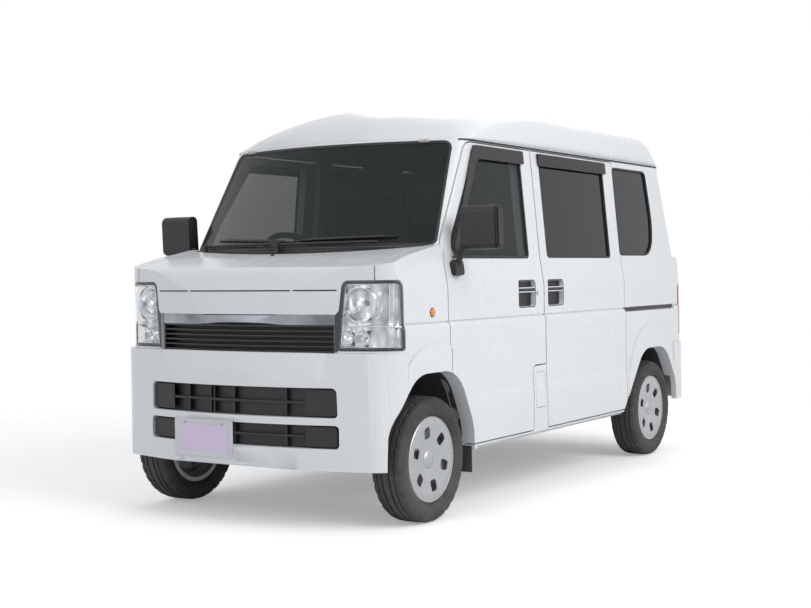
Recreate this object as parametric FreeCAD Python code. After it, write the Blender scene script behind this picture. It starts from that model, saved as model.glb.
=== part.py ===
import FreeCAD, Part
import math
import os

# Kei van with a tall roof, right-hand drive, sliding rear side doors and a lift-up tailgate.
# Millimetres. +X points forward, +Y to the van's left, +Z up; the origin is on the ground
# under the middle of the overall length.

os.makedirs("parts", exist_ok=True)
V = FreeCAD.Vector

# Overall size and running gear
LENGTH = 3395.0
WIDTH = 1475.0
HEIGHT = 1875.0
WHEELBASE = 2400.0
FRONT_OVERHANG = 450.0
TRACK = 1280.0
TYRE_RADIUS = 266.0
TYRE_WIDTH = 155.0
RIM_RADIUS = 165.0
RIM_WIDTH = 118.0
FLANGE_RADIUS = 181.0

X_NOSE = LENGTH / 2
X_TAIL = -LENGTH / 2
X_FRONT = X_NOSE - FRONT_OVERHANG
X_REAR = X_FRONT - WHEELBASE
Y_WHEEL = TRACK / 2
Z_HUB = TYRE_RADIUS

# Body heights, bottom to top
SILL_Z = 273.0
DOOR_BOTTOM_Z = 297.0
LOWER_CREASE_Z = 500.0
CREASE_Z = 842.0
SHOULDER_Z = 985.0
BELT_Z = 1122.0
DRIP_Z = 1652.0
DOOR_TOP_Z = 1634.0
BUMPER_TOP_Z = 728.0
BONNET_LINE_Z = 987.0
COWL_Z = 1162.0
FLOOR_Z = 640.0
FOOTWELL_Z = 455.0
LOAD_DECK_REAR = -1400.0
LOAD_DECK_FRONT = -780.0
LOAD_DECK_HALF = 490.0
LOAD_BOARD = 4.0
FLOOR_SHEET = 22.0
TUNNEL_TOP_Z = 760.0

# Half widths of the side, measured at those heights
HALF_FLARE = WIDTH / 2
HALF_SILL = HALF_FLARE - 3.0
HALF_LOW = HALF_FLARE - 9.0
HALF_UP = HALF_FLARE - 17.0
HALF_BELT = 698.0
HALF_DRIP = 647.0

# Windscreen at the belt and at the drip line: its middle, and 600 out from the middle
SCREEN_LOW_X = 1303.0
SCREEN_LOW_CORNER_X = 1183.0
SCREEN_TOP_X = 1000.0
SCREEN_TOP_CORNER_X = 861.0

# Wall thicknesses and gaps
WALL = 55.0
ROOF_WALL = 28.0
GLASS = 5.0
GLASS_INSET = 9.0
GAP = 6.0
SEAT_GAP = 0.3

# Stations along the side, from the front axle unless said otherwise
DOOR_FRONT_BACK = 126.0
B_LINE_X = 210.0
LID_LENGTH = 148.0
LID_TOP_Z = 603.0
BUMPER_BACK_X = 1472.0
REAR_BUMPER_X = -1440.0
REAR_BUMPER_TOP_Z = 624.0
SLIDE_REAR_X = -755.0
REAR_BODY_X = -1605.0
WINDOW_TOP_Z = 1600.0
DOOR_FRONT_X = X_FRONT - DOOR_FRONT_BACK

# Wheel arches
HOUSING_WALL = 12.0
HOUSING_GROW = 3.0
DOOR_CLEAR = 6.0
HOUSING_INNER_Y = 380.0
REAR_HOUSING_INNER_Y = 520.0

# Nose
NOSE_SETBACK = 52.0
GRILLE_HALF = 462.0
LAMP_TOP_Z = 1024.0
LAMP_REAR_X = 1478.0
BONNET_HALF = 640.0
RADIATOR_HALF = 290.0

PANEL_BOTTOM_Z = 886.0
BAR_BOTTOM_Z = 842.0
LOUVRE_PITCH = 21.0
COWL_DEPTH = 38.0
HANDLE_Z = 945.0
TAILGATE_TOP_Z = 1638.0
HINGE_X = -1499.0
HINGE_Z = 1634.0
HINGE_PIN = 4.0
HEADER_HALF = 560.0
BULKHEAD_X = 1284.0
FLOOR_END_X = -1540.0
RAIL_BOTTOM_Z = 300.0
RAIL_INNER_Y = 310.0
RAIL_WIDTH = 60.0
TOW_EYE_X = 1578.0
TOW_EYE_Y = -340.0
TOW_EYE_Z = 350.0
TOW_EYE_DEPTH = 14.0
TOW_EYE_BORE = 14.0

# Steering axis, leaning in towards the top
KINGPIN_LOW_Y = 590.0
KINGPIN_LOW_Z = 190.0
KINGPIN_TOP_Y = 470.0
KINGPIN_TOP_Z = 760.0

TOWER_TOP_Z = 770.0
TOWER_RADIUS = 78.0
STRUT_ROD = 11.0
BALL_STUD = 9.0
HUB_BORE = 30.0
HUB_PLAY = 0.05

# Steering column and wheel
DRIVER_Y = -330.0
STEER_X = 770.0
STEER_Z = 1105.0
STEER_RADIUS = 180.0
COLUMN_LEAN = 42.0
COLUMN_SHAFT = 12.0

SIDES = {"left": 1, "right": -1}


def corner(before, here, after, radius):
    """Tangent points and middle of the arc that rounds one corner."""
    a = (before - here).normalize()
    b = (after - here).normalize()
    half = a.getAngle(b) / 2
    cut = radius / math.tan(half)
    middle = (a + b).normalize()
    centre = here + middle * (radius / math.sin(half))
    return here + a * cut, centre - middle * radius, here + b * cut


def wire(points, place):
    """Closed wire through (a, b, radius) corners; place(a, b) sets each in space."""
    spots = [place(p[0], p[1]) for p in points]
    edges, first, last = [], None, None
    for i, p in enumerate(points):
        here = spots[i]
        radius = p[2] if len(p) > 2 else 0
        if radius:
            start, mid, end = corner(spots[i - 1], here, spots[(i + 1) % len(spots)], radius)
        else:
            start = mid = end = here
        if last is not None and (start - last).Length > 1e-4:
            edges.append(Part.LineSegment(last, start).toShape())
        if radius:
            edges.append(Part.Arc(start, mid, end).toShape())
        first = start if first is None else first
        last = end
    if (first - last).Length > 1e-4:
        edges.append(Part.LineSegment(last, first).toShape())
    return Part.Wire(edges)


def along_y(points, low, high, grow=0):
    """Side-view outline (x, z, radius) as a solid from y = low to high."""
    face = Part.Face(wire(points, lambda x, z: V(x, low, z)))
    face = face.makeOffset2D(grow) if grow else face
    return face.extrude(V(0, high - low, 0))


def along_x(points, low, high, grow=0):
    """Front-view outline (y, z, radius) as a solid from x = low to high."""
    face = Part.Face(wire(points, lambda y, z: V(low, y, z)))
    face = face.makeOffset2D(grow) if grow else face
    return face.extrude(V(high - low, 0, 0))


def along_z(points, low, high):
    """Plan outline (x, y, radius) as a solid from z = low to high."""
    face = Part.Face(wire(points, lambda x, y: V(x, y, low)))
    return face.extrude(V(0, 0, high - low))


def box(x0, x1, y0, y1, z0, z1):
    return Part.makeBox(x1 - x0, y1 - y0, z1 - z0, V(x0, y0, z0))


def span_box(x0, x1, side, near, far, z0, z1):
    low, high = sorted((side * near, side * far))
    return box(x0, x1, low, high, z0, z1)


def mirrored(points):
    """Right half (a from large to small side) followed by its mirror image."""
    return points + [(-p[0], *p[1:]) for p in reversed(points)]


def span_y(points, side, near, far, grow=0):
    """Side-view solid on one side only, |y| from near to far."""
    low, high = sorted((side * near, side * far))
    return along_y(points, low, high, grow)


def tube_y(x, z, radius, low, high):
    return Part.makeCylinder(radius, high - low, V(x, low, z), V(0, 1, 0))


def rod(start, end, radius):
    return Part.makeCylinder(radius, (end - start).Length, start, end - start)


def turned(points, centre, axis=V(0, 1, 0), out=V(0, 0, 1)):
    """Solid of revolution; points are (radius, along the axis, corner radius)."""
    outline = wire(points, lambda r, a: centre + out * r + axis * a)
    return Part.Face(outline).revolve(centre, axis, 360)


def other_side(shape):
    """The same thing on the van's right."""
    return shape.mirror(V(0, 0, 0), V(0, 1, 0))


def solids_of(shape):
    """Largest-first list of the solids in a shape."""
    return sorted(shape.Solids, key=lambda s: -s.Volume)


def keep(name, shape, minimum=500.0):
    """Write one node, leaving out slivers that a cut can leave."""
    found = [s for s in solids_of(shape) if s.Volume > minimum]
    result = found[0] if len(found) == 1 else Part.makeCompound(found)
    result.exportStep("parts/" + name + ".step")
    print(name, len(found), round(result.Volume / 1e6, 3), result.isValid())
    return result


def front_curve(centre_x, corner_x, half, radius, side_y, back):
    """Plan corners of a bowed front: its middle, its round corner and where the side starts."""
    sag = centre_x - corner_x
    bow = (half * half + sag * sag) / (2 * sag)
    slope = math.asin(half / bow)
    tip_x = corner_x + half * math.tan(slope)
    side_x = corner_x - (side_y - half) * math.tan(slope)
    return [(back, side_y), (side_x, side_y, radius), (tip_x, 0, bow), (side_x, -side_y, radius), (back, -side_y)]


def lower_section(inset):
    """Cross-section of the body side below the windows (y, z, radius)."""
    if inset > 10:
        half = [
            (HALF_LOW - inset, SILL_Z - 100),
            (HALF_LOW - inset, SHOULDER_Z, 200),
            (HALF_BELT - inset, BELT_Z, 0),
            (HALF_BELT - inset - 12, COWL_Z + 120, 0),
        ]
        return mirrored(half)
    half = [
        (HALF_SILL - 18, SILL_Z, 0),
        (HALF_SILL, SILL_Z + 14, 12),
        (HALF_SILL, LOWER_CREASE_Z - 22, 10),
        (HALF_LOW, LOWER_CREASE_Z + 20, 30),
        (HALF_LOW, CREASE_Z - 20, 8),
        (HALF_UP + 1, CREASE_Z - 5, 0),
        (HALF_UP - 6, CREASE_Z - 3, 0),
        (HALF_UP - 6, CREASE_Z + 2, 0),
        (HALF_UP, CREASE_Z + 4, 0),
        (HALF_UP, SHOULDER_Z, 260),
        (HALF_BELT, BELT_Z, 0),
        (HALF_BELT - 20, COWL_Z + 120, 0),
    ]
    return mirrored([(y - inset, *rest) for y, *rest in half])


def lower_body(inset):
    """Nose, sides and tail up to the bonnet and the belt line."""
    nose = X_NOSE - NOSE_SETBACK - inset
    tail = REAR_BODY_X + inset
    low = SILL_Z - (200 if inset > 10 else 0)
    profile = [
        (tail, low, 0),
        (nose + 12, low, 0),
        (nose + 12, BUMPER_TOP_Z, 0),
        (nose - 6, BONNET_LINE_Z, 0),
        (nose - 45, COWL_Z - 86 - inset, 60),
        (X_FRONT + 143, COWL_Z - 34 - inset, 600),
        (X_FRONT + 3, COWL_Z - 10 - inset, 0),
        (X_FRONT - 97, COWL_Z + 8 - inset, 0),
        (X_FRONT - 160, BELT_Z + 1 - inset, 0),
        (tail, BELT_Z + 1 - inset, 0),
    ]
    side_y = HALF_FLARE + 5 - inset
    plan = front_curve(nose + 12, nose - 48, 500, 150, side_y, 0)
    plan = [(tail, side_y, 115), *plan[1:-1], (tail, -side_y, 115)]
    body = along_y(profile, -side_y, side_y)
    body = body.common(along_x(lower_section(inset), tail - 10, nose + 20))
    return body.common(along_z(plan, low, COWL_Z + 100))


def upper_plan(inset, z):
    """Plan outline of the greenhouse at height z, between the belt and the drip line."""
    share = (z - BELT_Z) / (DRIP_Z - BELT_Z)
    mix = lambda low, high: low + (high - low) * share
    side_y = mix(HALF_BELT, HALF_DRIP) - inset
    centre_x = mix(SCREEN_LOW_X, SCREEN_TOP_X) - inset
    tail = mix(REAR_BODY_X, REAR_BODY_X + 115) + inset
    radius = mix(105, 95) - 0.6 * inset
    sag = mix(SCREEN_LOW_X - SCREEN_LOW_CORNER_X, SCREEN_TOP_X - SCREEN_TOP_CORNER_X)
    bow = (600 * 600 + sag * sag) / (2 * sag) - inset
    half = side_y - 0.66 * radius
    corner_x = centre_x - bow + math.sqrt(bow * bow - half * half)
    points = front_curve(centre_x, corner_x, half, radius, side_y, 0)
    return [(tail, side_y, 115 - 0.6 * inset), *points[1:-1], (tail, -side_y, 115 - 0.6 * inset)]


def upper_body(inset, low=BELT_Z, high=DRIP_Z):
    """Greenhouse between the belt and the drip line, as a ruled loft."""
    rings = [wire(upper_plan(inset, z), lambda x, y, z=z: V(x, y, z)) for z in (low, high)]
    return Part.makeLoft(rings, True, True)


def bowed(centre, side, half):
    """Height of the tangents' meeting point and radius of an arc with that rise over half."""
    sag = centre - side
    radius = (half * half + sag * sag) / (2 * sag)
    return side + half * math.tan(math.asin(half / radius)), radius


def roof_cap(inset):
    """Tall roof: a leaning plan, a side profile and a crowned cross-section in common."""
    low = DRIP_Z - (40 if inset else 0)
    top = HEIGHT - inset
    lean = 50
    rings = []
    for z, extra in ((low, -7), (top + 5, lean)):
        rings.append(wire(upper_plan(inset + extra, DRIP_Z), lambda x, y, z=z: V(x, y, z)))
    cap = Part.makeLoft(rings, True, True)
    profile = [
        (1300, low, 0),
        (1013 - inset, low, 0),
        (1013 - inset, DRIP_Z + 4, 0),
        (800 - inset, top - 88, 320),
        (0, top, 2500),
        (-1330 + inset, top, 240),
        (REAR_BODY_X + 75 + inset, DRIP_Z + 75, 70),
        (REAR_BODY_X + 88 + inset, low, 0),
    ][1:]
    crown_z, crown_r = bowed(top, top - 34, 500)
    slope = (crown_z - (top - 34)) / 500
    shoulder_y = HALF_DRIP - 8 - inset
    section = [
        (HALF_DRIP + 7 - inset, low, 0),
        (HALF_DRIP + 7 - inset, DRIP_Z + 14, 0),
        (shoulder_y, crown_z - slope * shoulder_y, 125),
    ]
    section = section + [(0, crown_z, crown_r)] + [(-p[0], *p[1:]) for p in reversed(section)]
    cap = cap.common(along_y(profile, -700, 700))
    return cap.common(along_x(section, -1900, 1300))


def front_arch():
    """Side outline of the front wheel opening."""
    x = X_FRONT
    return [(x - 314, 150, 0), (x - 309, 380, 250), (x - 177, 634, 190), (x + 177, 634, 190),
            (x + 316, 430, 200), (x + 322, 150, 0)]


def rear_arch():
    """Side outline of the rear wheel opening, swept forward at its foot."""
    x = X_REAR
    return [(x + 470, 150, 0), (x + 452, 280, 60), (x + 170, 612, 190), (x - 150, 612, 190),
            (x - 310, 400, 160), (x - 318, 150, 0)]


def front_flare():
    x = X_FRONT
    return [(x - 335, SILL_Z, 0), (x - 312, 520, 400), (x - 172, 757, 260), (x + 233, 757, 300), (x + 392, SILL_Z, 0)]


def rear_flare():
    x = X_REAR
    return [(x + 392, SILL_Z, 0), (x + 372, 500, 300), (x + 232, 741, 260), (x - 168, 741, 290),
            (x - 288, 500, 300), (x - 305, SILL_Z, 0)]


def flares():
    """Raised lips round the wheel arches, with a softened outer edge."""
    made = []
    for outline in (front_flare(), rear_flare()):
        lip = along_y(outline, HALF_BELT - 30, HALF_FLARE - 4).fuse(along_y(outline, HALF_FLARE - 4, HALF_FLARE, -4))
        made += [lip, other_side(lip)]
    return made


def front_door_outline(side):
    """Shut line of the front door; the left one is notched round the fuel lid panel."""
    rear = B_LINE_X + 3
    points = [
        (DOOR_FRONT_X, DOOR_BOTTOM_Z, 0),
        (DOOR_FRONT_X, CREASE_Z, 400),
        (DOOR_FRONT_X + 6, BELT_Z + 25, 260),
        (DOOR_FRONT_X - 292, DOOR_TOP_Z, 70),
        (rear, DOOR_TOP_Z, 8),
    ]
    if side > 0:
        notch = rear + LID_LENGTH
        return [(rear, LID_TOP_Z, 6), (notch - 12, LID_TOP_Z, 30), (notch, DOOR_BOTTOM_Z, 12), *points]
    return [(rear, DOOR_BOTTOM_Z, 20), *points]


def front_window_outline():
    rear = B_LINE_X + 122
    return [
        (rear, BELT_Z, 12),
        (DOOR_FRONT_X - 62, BELT_Z, 45),
        (DOOR_FRONT_X - 92, BELT_Z + 90, 120),
        (DOOR_FRONT_X - 366, WINDOW_TOP_Z, 55),
        (rear, WINDOW_TOP_Z, 12),
    ]


def slide_door_outline():
    return [
        (SLIDE_REAR_X, DOOR_BOTTOM_Z, 15),
        (B_LINE_X, DOOR_BOTTOM_Z, 15),
        (B_LINE_X, DOOR_TOP_Z, 8),
        (SLIDE_REAR_X, DOOR_TOP_Z, 15),
    ]


def slide_window_outline():
    rear, front = SLIDE_REAR_X + 137, B_LINE_X - 85
    return [(rear, BELT_Z, 14), (front, BELT_Z, 14), (front, WINDOW_TOP_Z, 14), (rear, WINDOW_TOP_Z, 14)]


def quarter_window_outline():
    front = SLIDE_REAR_X - 10
    return [
        (front, BELT_Z + 14, 14),
        (-1215, BELT_Z + 14, 130),
        (-1247, 1330, 400),
        (-1212, WINDOW_TOP_Z, 32),
        (front, WINDOW_TOP_Z, 14),
    ]


def windscreen_outline():
    return mirrored([(664, COWL_Z + 4, 24), (604, DRIP_Z - 12, 45)])


def tailgate_outline():
    return mirrored([(612, 640, 25), (620, 1110, 150), (572, TAILGATE_TOP_Z, 60)])


def tail_window_outline():
    return mirrored([(540, 1150, 70), (508, 1560, 60)])


def mirrored_plan(points):
    return points + [(p[0], -p[1], *p[2:]) for p in reversed(points)]


def nose_prism(half_outline, depth=400):
    """Front-view region of the nose, both sides; the outline is its left half."""
    return along_x(mirrored(half_outline), X_NOSE - depth, X_NOSE + 50)


def cowl_prism(ahead):
    """Everything behind the bowed rear edge of the bonnet."""
    plan = upper_plan(-ahead, COWL_Z)
    return along_z(plan, BONNET_LINE_Z, COWL_Z + 300)


def side_region(outline, grow=0):
    return along_y(outline, HALF_DRIP - WALL - 130, HALF_FLARE + 60, grow)


def handle_recess(x):
    """Dished recess in the door skin with the pull bar left standing across it."""
    z = HANDLE_Z
    outline = [(x - 82, z - 60, 14), (x + 82, z - 60, 14), (x + 82, z + 60, 14), (x - 82, z + 60, 14)]
    recess = along_y(outline, HALF_UP - 24, HALF_FLARE)
    bar = [(x - 83, z + 6, 4), (x + 83, z + 6, 4), (x + 83, z + 30, 4), (x - 83, z + 30, 4)]
    return recess.cut(along_y(bar, HALF_UP - 25, HALF_UP - 2))


def lamp_region():
    """Left headlamp: a front-view outline and where it stops on the side."""
    front = [(GRILLE_HALF + 8, BUMPER_TOP_Z + 8, 10), (900, BUMPER_TOP_Z + 8, 0), (900, LAMP_TOP_Z, 0),
             (GRILLE_HALF + 38, LAMP_TOP_Z, 30)]
    side = [(LAMP_REAR_X, BUMPER_TOP_Z + 8, 14), (1800, BUMPER_TOP_Z + 8, 0), (1800, LAMP_TOP_Z, 0),
            (LAMP_REAR_X, LAMP_TOP_Z, 30)]
    return along_x(front, X_NOSE - 400, X_NOSE + 50).common(along_y(side, 300, 800))


def tail_lamp_region():
    rear = [(632, 668, 12), (900, 668, 0), (900, 962, 0), (638, 962, 20)]
    side = [(-1900, 668, 0), (-1532, 668, 14), (-1532, 962, 20), (-1900, 962, 0)]
    return along_x(rear, -1900, -1400).common(along_y(side, 300, 800))


def inner_pillar(x0, x1, doors):
    """Pillar inside the doors, joined to the roof rail above them and to the sill below."""
    outer = lower_body(WALL - 2).fuse(upper_body(WALL - 2, BELT_Z - WALL - 30, DRIP_Z + 20))
    inner = lower_body(WALL + 42).fuse(upper_body(WALL + 42, BELT_Z - WALL - 90, DRIP_Z + 20))
    strip = outer.cut(inner).common(box(x0, x1, 300, 800, DOOR_BOTTOM_Z - 10, DRIP_Z - 0.3))
    clear = lower_body(WALL + 7).fuse(upper_body(WALL + 7, BELT_Z - WALL - 40, DRIP_Z + 20))
    return strip.cut(doors.cut(clear))


def header_regions(grow=0):
    """Where the cross members over the windscreen and round the tailgate run between the corner posts."""
    half = HEADER_HALF + grow
    tail = box(-2000, -1400, -half, half, 0, 2000)
    front = box(700, 1400, -half, half, WINDOW_TOP_Z, 2000)
    return ("tail_frame", tail), ("windscreen_header", front)


def export_shell():
    """Split the hollow body into its panels and write them."""
    outer = lower_body(0).fuse(upper_body(0))
    for lip in flares():
        outer = outer.fuse(lip)
    inner = lower_body(WALL).fuse(upper_body(WALL, BELT_Z - WALL - 30, DRIP_Z + 20))
    outer = outer.common(box(REAR_BODY_X - 5, X_NOSE, -HALF_FLARE, HALF_FLARE, SILL_Z, DRIP_Z))
    shell = outer.cut(inner)
    for outline in (front_arch(), rear_arch()):
        for side in (1, -1):
            shell = shell.cut(span_y(outline, side, 300, 800))
    shell = shell.cut(box(BUMPER_BACK_X, X_NOSE + 50, -800, 800, 0, BUMPER_TOP_Z + 0.4))
    shell = shell.cut(box(-2000, REAR_BUMPER_X, -800, 800, 0, REAR_BUMPER_TOP_Z + 0.4))

    for name, region in (("headlamps", lamp_region()), ("tail_lamps", tail_lamp_region())):
        both = region.fuse(other_side(region))
        keep(name, shell.common(both))
        shell = shell.cut(both)

    shell = shell.cut(nose_prism([(GRILLE_HALF + 5, BUMPER_TOP_Z - 20), (GRILLE_HALF + 5, PANEL_BOTTOM_Z)]))
    panel_region = nose_prism([(GRILLE_HALF + 5, PANEL_BOTTOM_Z + 0.3), (540, BONNET_LINE_Z)])
    keep("grille_panel", shell.common(panel_region))
    shell = shell.cut(panel_region)

    plan = [(1800, BONNET_HALF), (X_FRONT - 250, BONNET_HALF)]
    bonnet_region = along_z(mirrored_plan(plan), BONNET_LINE_Z + GAP, COWL_Z + 100)
    narrower = [(x, y - GAP) for x, y in plan]
    bonnet = shell.common(along_z(mirrored_plan(narrower), BONNET_LINE_Z + GAP, COWL_Z + 100))
    keep("bonnet", bonnet.cut(cowl_prism(COWL_DEPTH)))
    cowl_region = along_z(mirrored_plan(narrower), BONNET_LINE_Z, COWL_Z + 100).common(cowl_prism(COWL_DEPTH - GAP))
    windscreen_opening = along_x(windscreen_outline(), 700, 1800)
    cowl = shell.common(cowl_region).cut(windscreen_opening).common(box(900, 1500, -800, 800, 0, COWL_Z + 3.7))
    keep("cowl", cowl)
    plan_all = along_z(mirrored_plan([(1800, BONNET_HALF - GAP + 0.3), (X_FRONT - 250, BONNET_HALF - GAP + 0.3)]),
                       BONNET_LINE_Z - 0.1, COWL_Z + 3.7)
    shell = shell.cut(windscreen_opening).cut(bonnet_region.cut(cowl_prism(COWL_DEPTH - GAP)))
    shell = shell.cut(plan_all.common(cowl_prism(COWL_DEPTH - GAP)))
    glass = upper_body(3).cut(upper_body(3 + GLASS))
    keep("windscreen", glass.common(along_x(windscreen_outline(), 600, 1800, -SEAT_GAP)))

    left_half = shell.common(box(-2000, 2000, 0, 800, 0, 2000)).cut(side_region(quarter_window_outline()))
    slide_door = left_half.common(side_region(slide_door_outline(), -GAP / 2))
    slide_door = slide_door.cut(side_region(slide_window_outline())).cut(handle_recess(B_LINE_X - 127))
    keep("sliding_door_left", slide_door)
    keep("sliding_door_right", other_side(slide_door))
    for name, side in SIDES.items():
        panel = left_half.common(side_region(front_door_outline(side), -GAP / 2))
        panel = panel.cut(side_region(front_window_outline())).cut(handle_recess(B_LINE_X + 178))
        panes = glass_pane(front_window_outline())
        if side < 0:
            panel, panes = other_side(panel), other_side(panes)
        keep("front_door_" + name, panel)
        keep("front_door_glass_" + name, panes)
    panes = [glass_pane(slide_window_outline()), glass_pane(quarter_window_outline())]
    keep("side_glass", Part.makeCompound(panes + [other_side(pane) for pane in panes]))

    gate = shell.common(along_x(tailgate_outline(), -1900, -1350, -GAP / 2))
    gate = gate.cut(along_x(tail_window_outline(), -1900, -1300))
    sleeves, lugs, gate_pockets, body_pockets = gate_hinge()
    for mirror in (lambda shape: shape, other_side):
        gate = gate.cut(mirror(gate_pockets)).fuse(mirror(sleeves)).cut(mirror(hinge_rod(HINGE_PIN + HUB_PLAY, 340, 460)))
    keep("tailgate", gate)
    tail_glass = upper_body(5).cut(upper_body(5 + GLASS))
    keep("tailgate_glass", tail_glass.common(along_x(tail_window_outline(), -1900, -1350, -SEAT_GAP)))
    gate_opening = along_x(tailgate_outline(), -1900, -1350, GAP / 2)
    left_half = left_half.cut(gate_opening).cut(body_pockets).fuse(lugs)
    for name, region in header_regions():
        member = left_half.common(region).common(box(-2000, 2000, -1, 800, 0, DRIP_Z - 0.3))
        keep(name, member.fuse(other_side(member)).removeSplitter())
    for _, region in header_regions(SEAT_GAP):
        left_half = left_half.cut(region)
    for name, side in SIDES.items():
        doors = side_region(front_door_outline(side), GAP / 2).fuse(side_region(slide_door_outline(), GAP / 2))
        panel = left_half.cut(doors)
        panel = panel.fuse(inner_pillar(B_LINE_X - 50, B_LINE_X + 50, doors))
        panel = panel.cut(along_y(slide_rail_outline(), HALF_UP - 14, HALF_FLARE + 20))
        if side > 0:
            panel = panel.cut(fuel_lid_groove())
        panel = panel.common(box(-2000, 2000, 0.15, 800, 0, DRIP_Z - 0.3))
        keep("side_" + name, panel if side > 0 else other_side(panel), 20000)
    keep("roof", roof_cap(0).cut(roof_cap(ROOF_WALL)))


def hinge_rod(radius, low, high):
    return tube_y(HINGE_X, HINGE_Z, radius, low, high)


def gate_hinge():
    """Left tailgate hinge: a sleeve on the gate between two lugs that carry the pin."""
    sleeve = hinge_rod(8, 380, 420)
    lugs = hinge_rod(HINGE_PIN, 352, 448)
    for low, high in ((352, 374), (426, 448)):
        lugs = lugs.fuse(hinge_rod(6.5, low, high))
        lugs = lugs.fuse(box(HINGE_X - 6.5, HINGE_X + 13, low, high, HINGE_Z, DRIP_Z - SEAT_GAP))
    gate_pockets = hinge_rod(18.5, 346, 380).fuse(hinge_rod(18.5, 420, 454))
    return sleeve, lugs, gate_pockets, hinge_rod(13.5, 374.5, 425.5)


def slide_rail_outline():
    return [(-1468, 822, 6), (SLIDE_REAR_X + 2, 822, 0), (SLIDE_REAR_X + 2, 848, 0), (-1468, 848, 6)]


def fuel_lid_groove():
    """Thin line round the fuel lid, in the panel below the front door's notch."""
    x0, x1 = B_LINE_X + 20, B_LINE_X + LID_LENGTH - 26
    z0, z1 = 400, LID_TOP_Z - 32
    corners = [(x0, z0, 14), (x1, z0, 14), (x1 - 6, z1, 14), (x0, z1, 14)]
    return along_y(corners, HALF_LOW - 4, 760, 1.5).cut(along_y(corners, HALF_LOW - 5, 761, -1.5))


def glass_pane(outline):
    """Pane that follows the left side, set a little inside its outer face."""
    outer = upper_body(GLASS_INSET, BELT_Z - 20, DRIP_Z)
    inner = upper_body(GLASS_INSET + GLASS, BELT_Z - 20, DRIP_Z)
    return outer.cut(inner).common(along_y(outline, 500, 800, -SEAT_GAP))


def front_bumper():
    """Bumper cover that wraps round the nose to the front arches, with two air slots."""
    def volume(inset):
        nose = X_NOSE - inset
        side_y = HALF_FLARE - 1 - inset
        plan = front_curve(nose, nose - 62, 500, 150 - 0.5 * inset, side_y, BUMPER_BACK_X - 100)
        low = 250.0 - (60 if inset else 0)
        profile = [
            (BUMPER_BACK_X - 100, low, 0), (nose - 14, low, 16), (nose + 1, 328, 8), (nose - 7, 338, 6),
            (nose + 1, 520, 400), (nose - 4, 655, 60), (nose - 40, BUMPER_TOP_Z, 10), (BUMPER_BACK_X - 100, BUMPER_TOP_Z, 0),
        ]
        if inset:
            profile = [
                (BUMPER_BACK_X - 120, low, 0), (nose, low, 0), (nose - 4, 640, 40),
                (nose - 34, BUMPER_TOP_Z - 30, 0), (BUMPER_BACK_X - 120, BUMPER_TOP_Z - 30, 0),
            ]
        return along_z(plan, low, BUMPER_TOP_Z).common(along_y(profile, -side_y, side_y))
    cover = volume(0).cut(volume(32))
    for slot in (
        mirrored([(498, 466, 18), (494, 588, 22)]),
        mirrored([(503, 340, 18), (503, 436, 18)]),
    ):
        cover = cover.cut(along_x(slot, X_NOSE - 200, X_NOSE + 50))
    cover = cover.common(box(BUMPER_BACK_X, X_NOSE + 10, -800, 800, 200, BUMPER_TOP_Z))
    cover = cover.cut(box(0, X_NOSE - 135, -RADIATOR_HALF - 30, RADIATOR_HALF + 30, 600, 800))
    return cover.cut(along_y(front_arch(), -800, 800).cut(box(1000, 1800, -560, 560, 0, 900)))


def slot_liner():
    """Dark insert behind the bumper slots, with its cross slats and posts."""
    def layer(inset, low, high, half):
        nose = X_NOSE - inset
        plan = front_curve(nose, nose - 62, 500, 120, HALF_FLARE - inset, X_NOSE - 260)
        return along_z(plan, low, high).common(box(0, X_NOSE, -half, half, low, high))
    back = layer(36 + SEAT_GAP, 324, 604, 540)
    for z in (384, 522):
        back = back.fuse(layer(12, z, z + 10, 490))
    for y in (-260, -130, -110, 0, 260):
        for low, high in ((345, 431), (472, 582)):
            back = back.fuse(layer(16, low, high, 480).common(box(0, X_NOSE, y - 4, y + 4, low, high)))
    return back.cut(layer(44, 300, 620, 600)).removeSplitter()


def rear_bumper():
    def volume(inset):
        tail = -X_TAIL - inset
        side_y = HALF_FLARE - 1 - inset
        plan = front_curve(tail, tail - 40, 560, 120 - 0.5 * inset, side_y, -REAR_BUMPER_X - 5)
        plan = [(-x, y, *rest) for x, y, *rest in plan]
        low = 292.0 - (60 if inset else 0)
        top = REAR_BUMPER_TOP_Z - inset
        profile = [
            (REAR_BUMPER_X, low, 0), (-tail + 26, low, 20), (-tail, 380, 60), (-tail, 560, 40),
            (-tail + 22, top, 16), (REAR_BUMPER_X, top, 0),
        ]
        return along_z(plan, low, 700).common(along_y(profile, -side_y, side_y))
    cover = volume(0).cut(volume(30)).common(box(X_TAIL - 5, REAR_BUMPER_X, -800, 800, 200, 700))
    cover = cover.cut(box(REAR_BODY_X + 4, 0, 32 - HALF_FLARE, HALF_FLARE - 32, 500, 700))
    return cover.cut(along_y(rear_arch(), -800, 800).cut(box(-1900, -1000, -560, 560, 0, 900)))


def grille():
    """Louvred grille between the headlamps."""
    face_x = X_NOSE - 54
    low, high = BUMPER_TOP_Z + 0.3, BAR_BOTTOM_Z

    def front(step, half, back):
        return along_z(front_curve(face_x - step, face_x - 46 - step, 440, 8, half, back), low, high)
    slab = front(0, GRILLE_HALF, face_x - 130).cut(along_z(
        front_curve(face_x - 44, face_x - 90, 440, 8, GRILLE_HALF - 10, face_x - 140), low - 1, high + 1))
    back = front(40, GRILLE_HALF - 4, face_x - 130).cut(front(48, GRILLE_HALF - 4, face_x - 140))
    for i in range(5):
        z = low + 8 + i * LOUVRE_PITCH
        slot = mirrored([(GRILLE_HALF - 10, z, 3), (GRILLE_HALF - 10, z + LOUVRE_PITCH - 7, 3)])
        slab = slab.cut(along_x(slot, face_x - 300, face_x + 50))
    return slab.fuse(back).removeSplitter()


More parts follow.
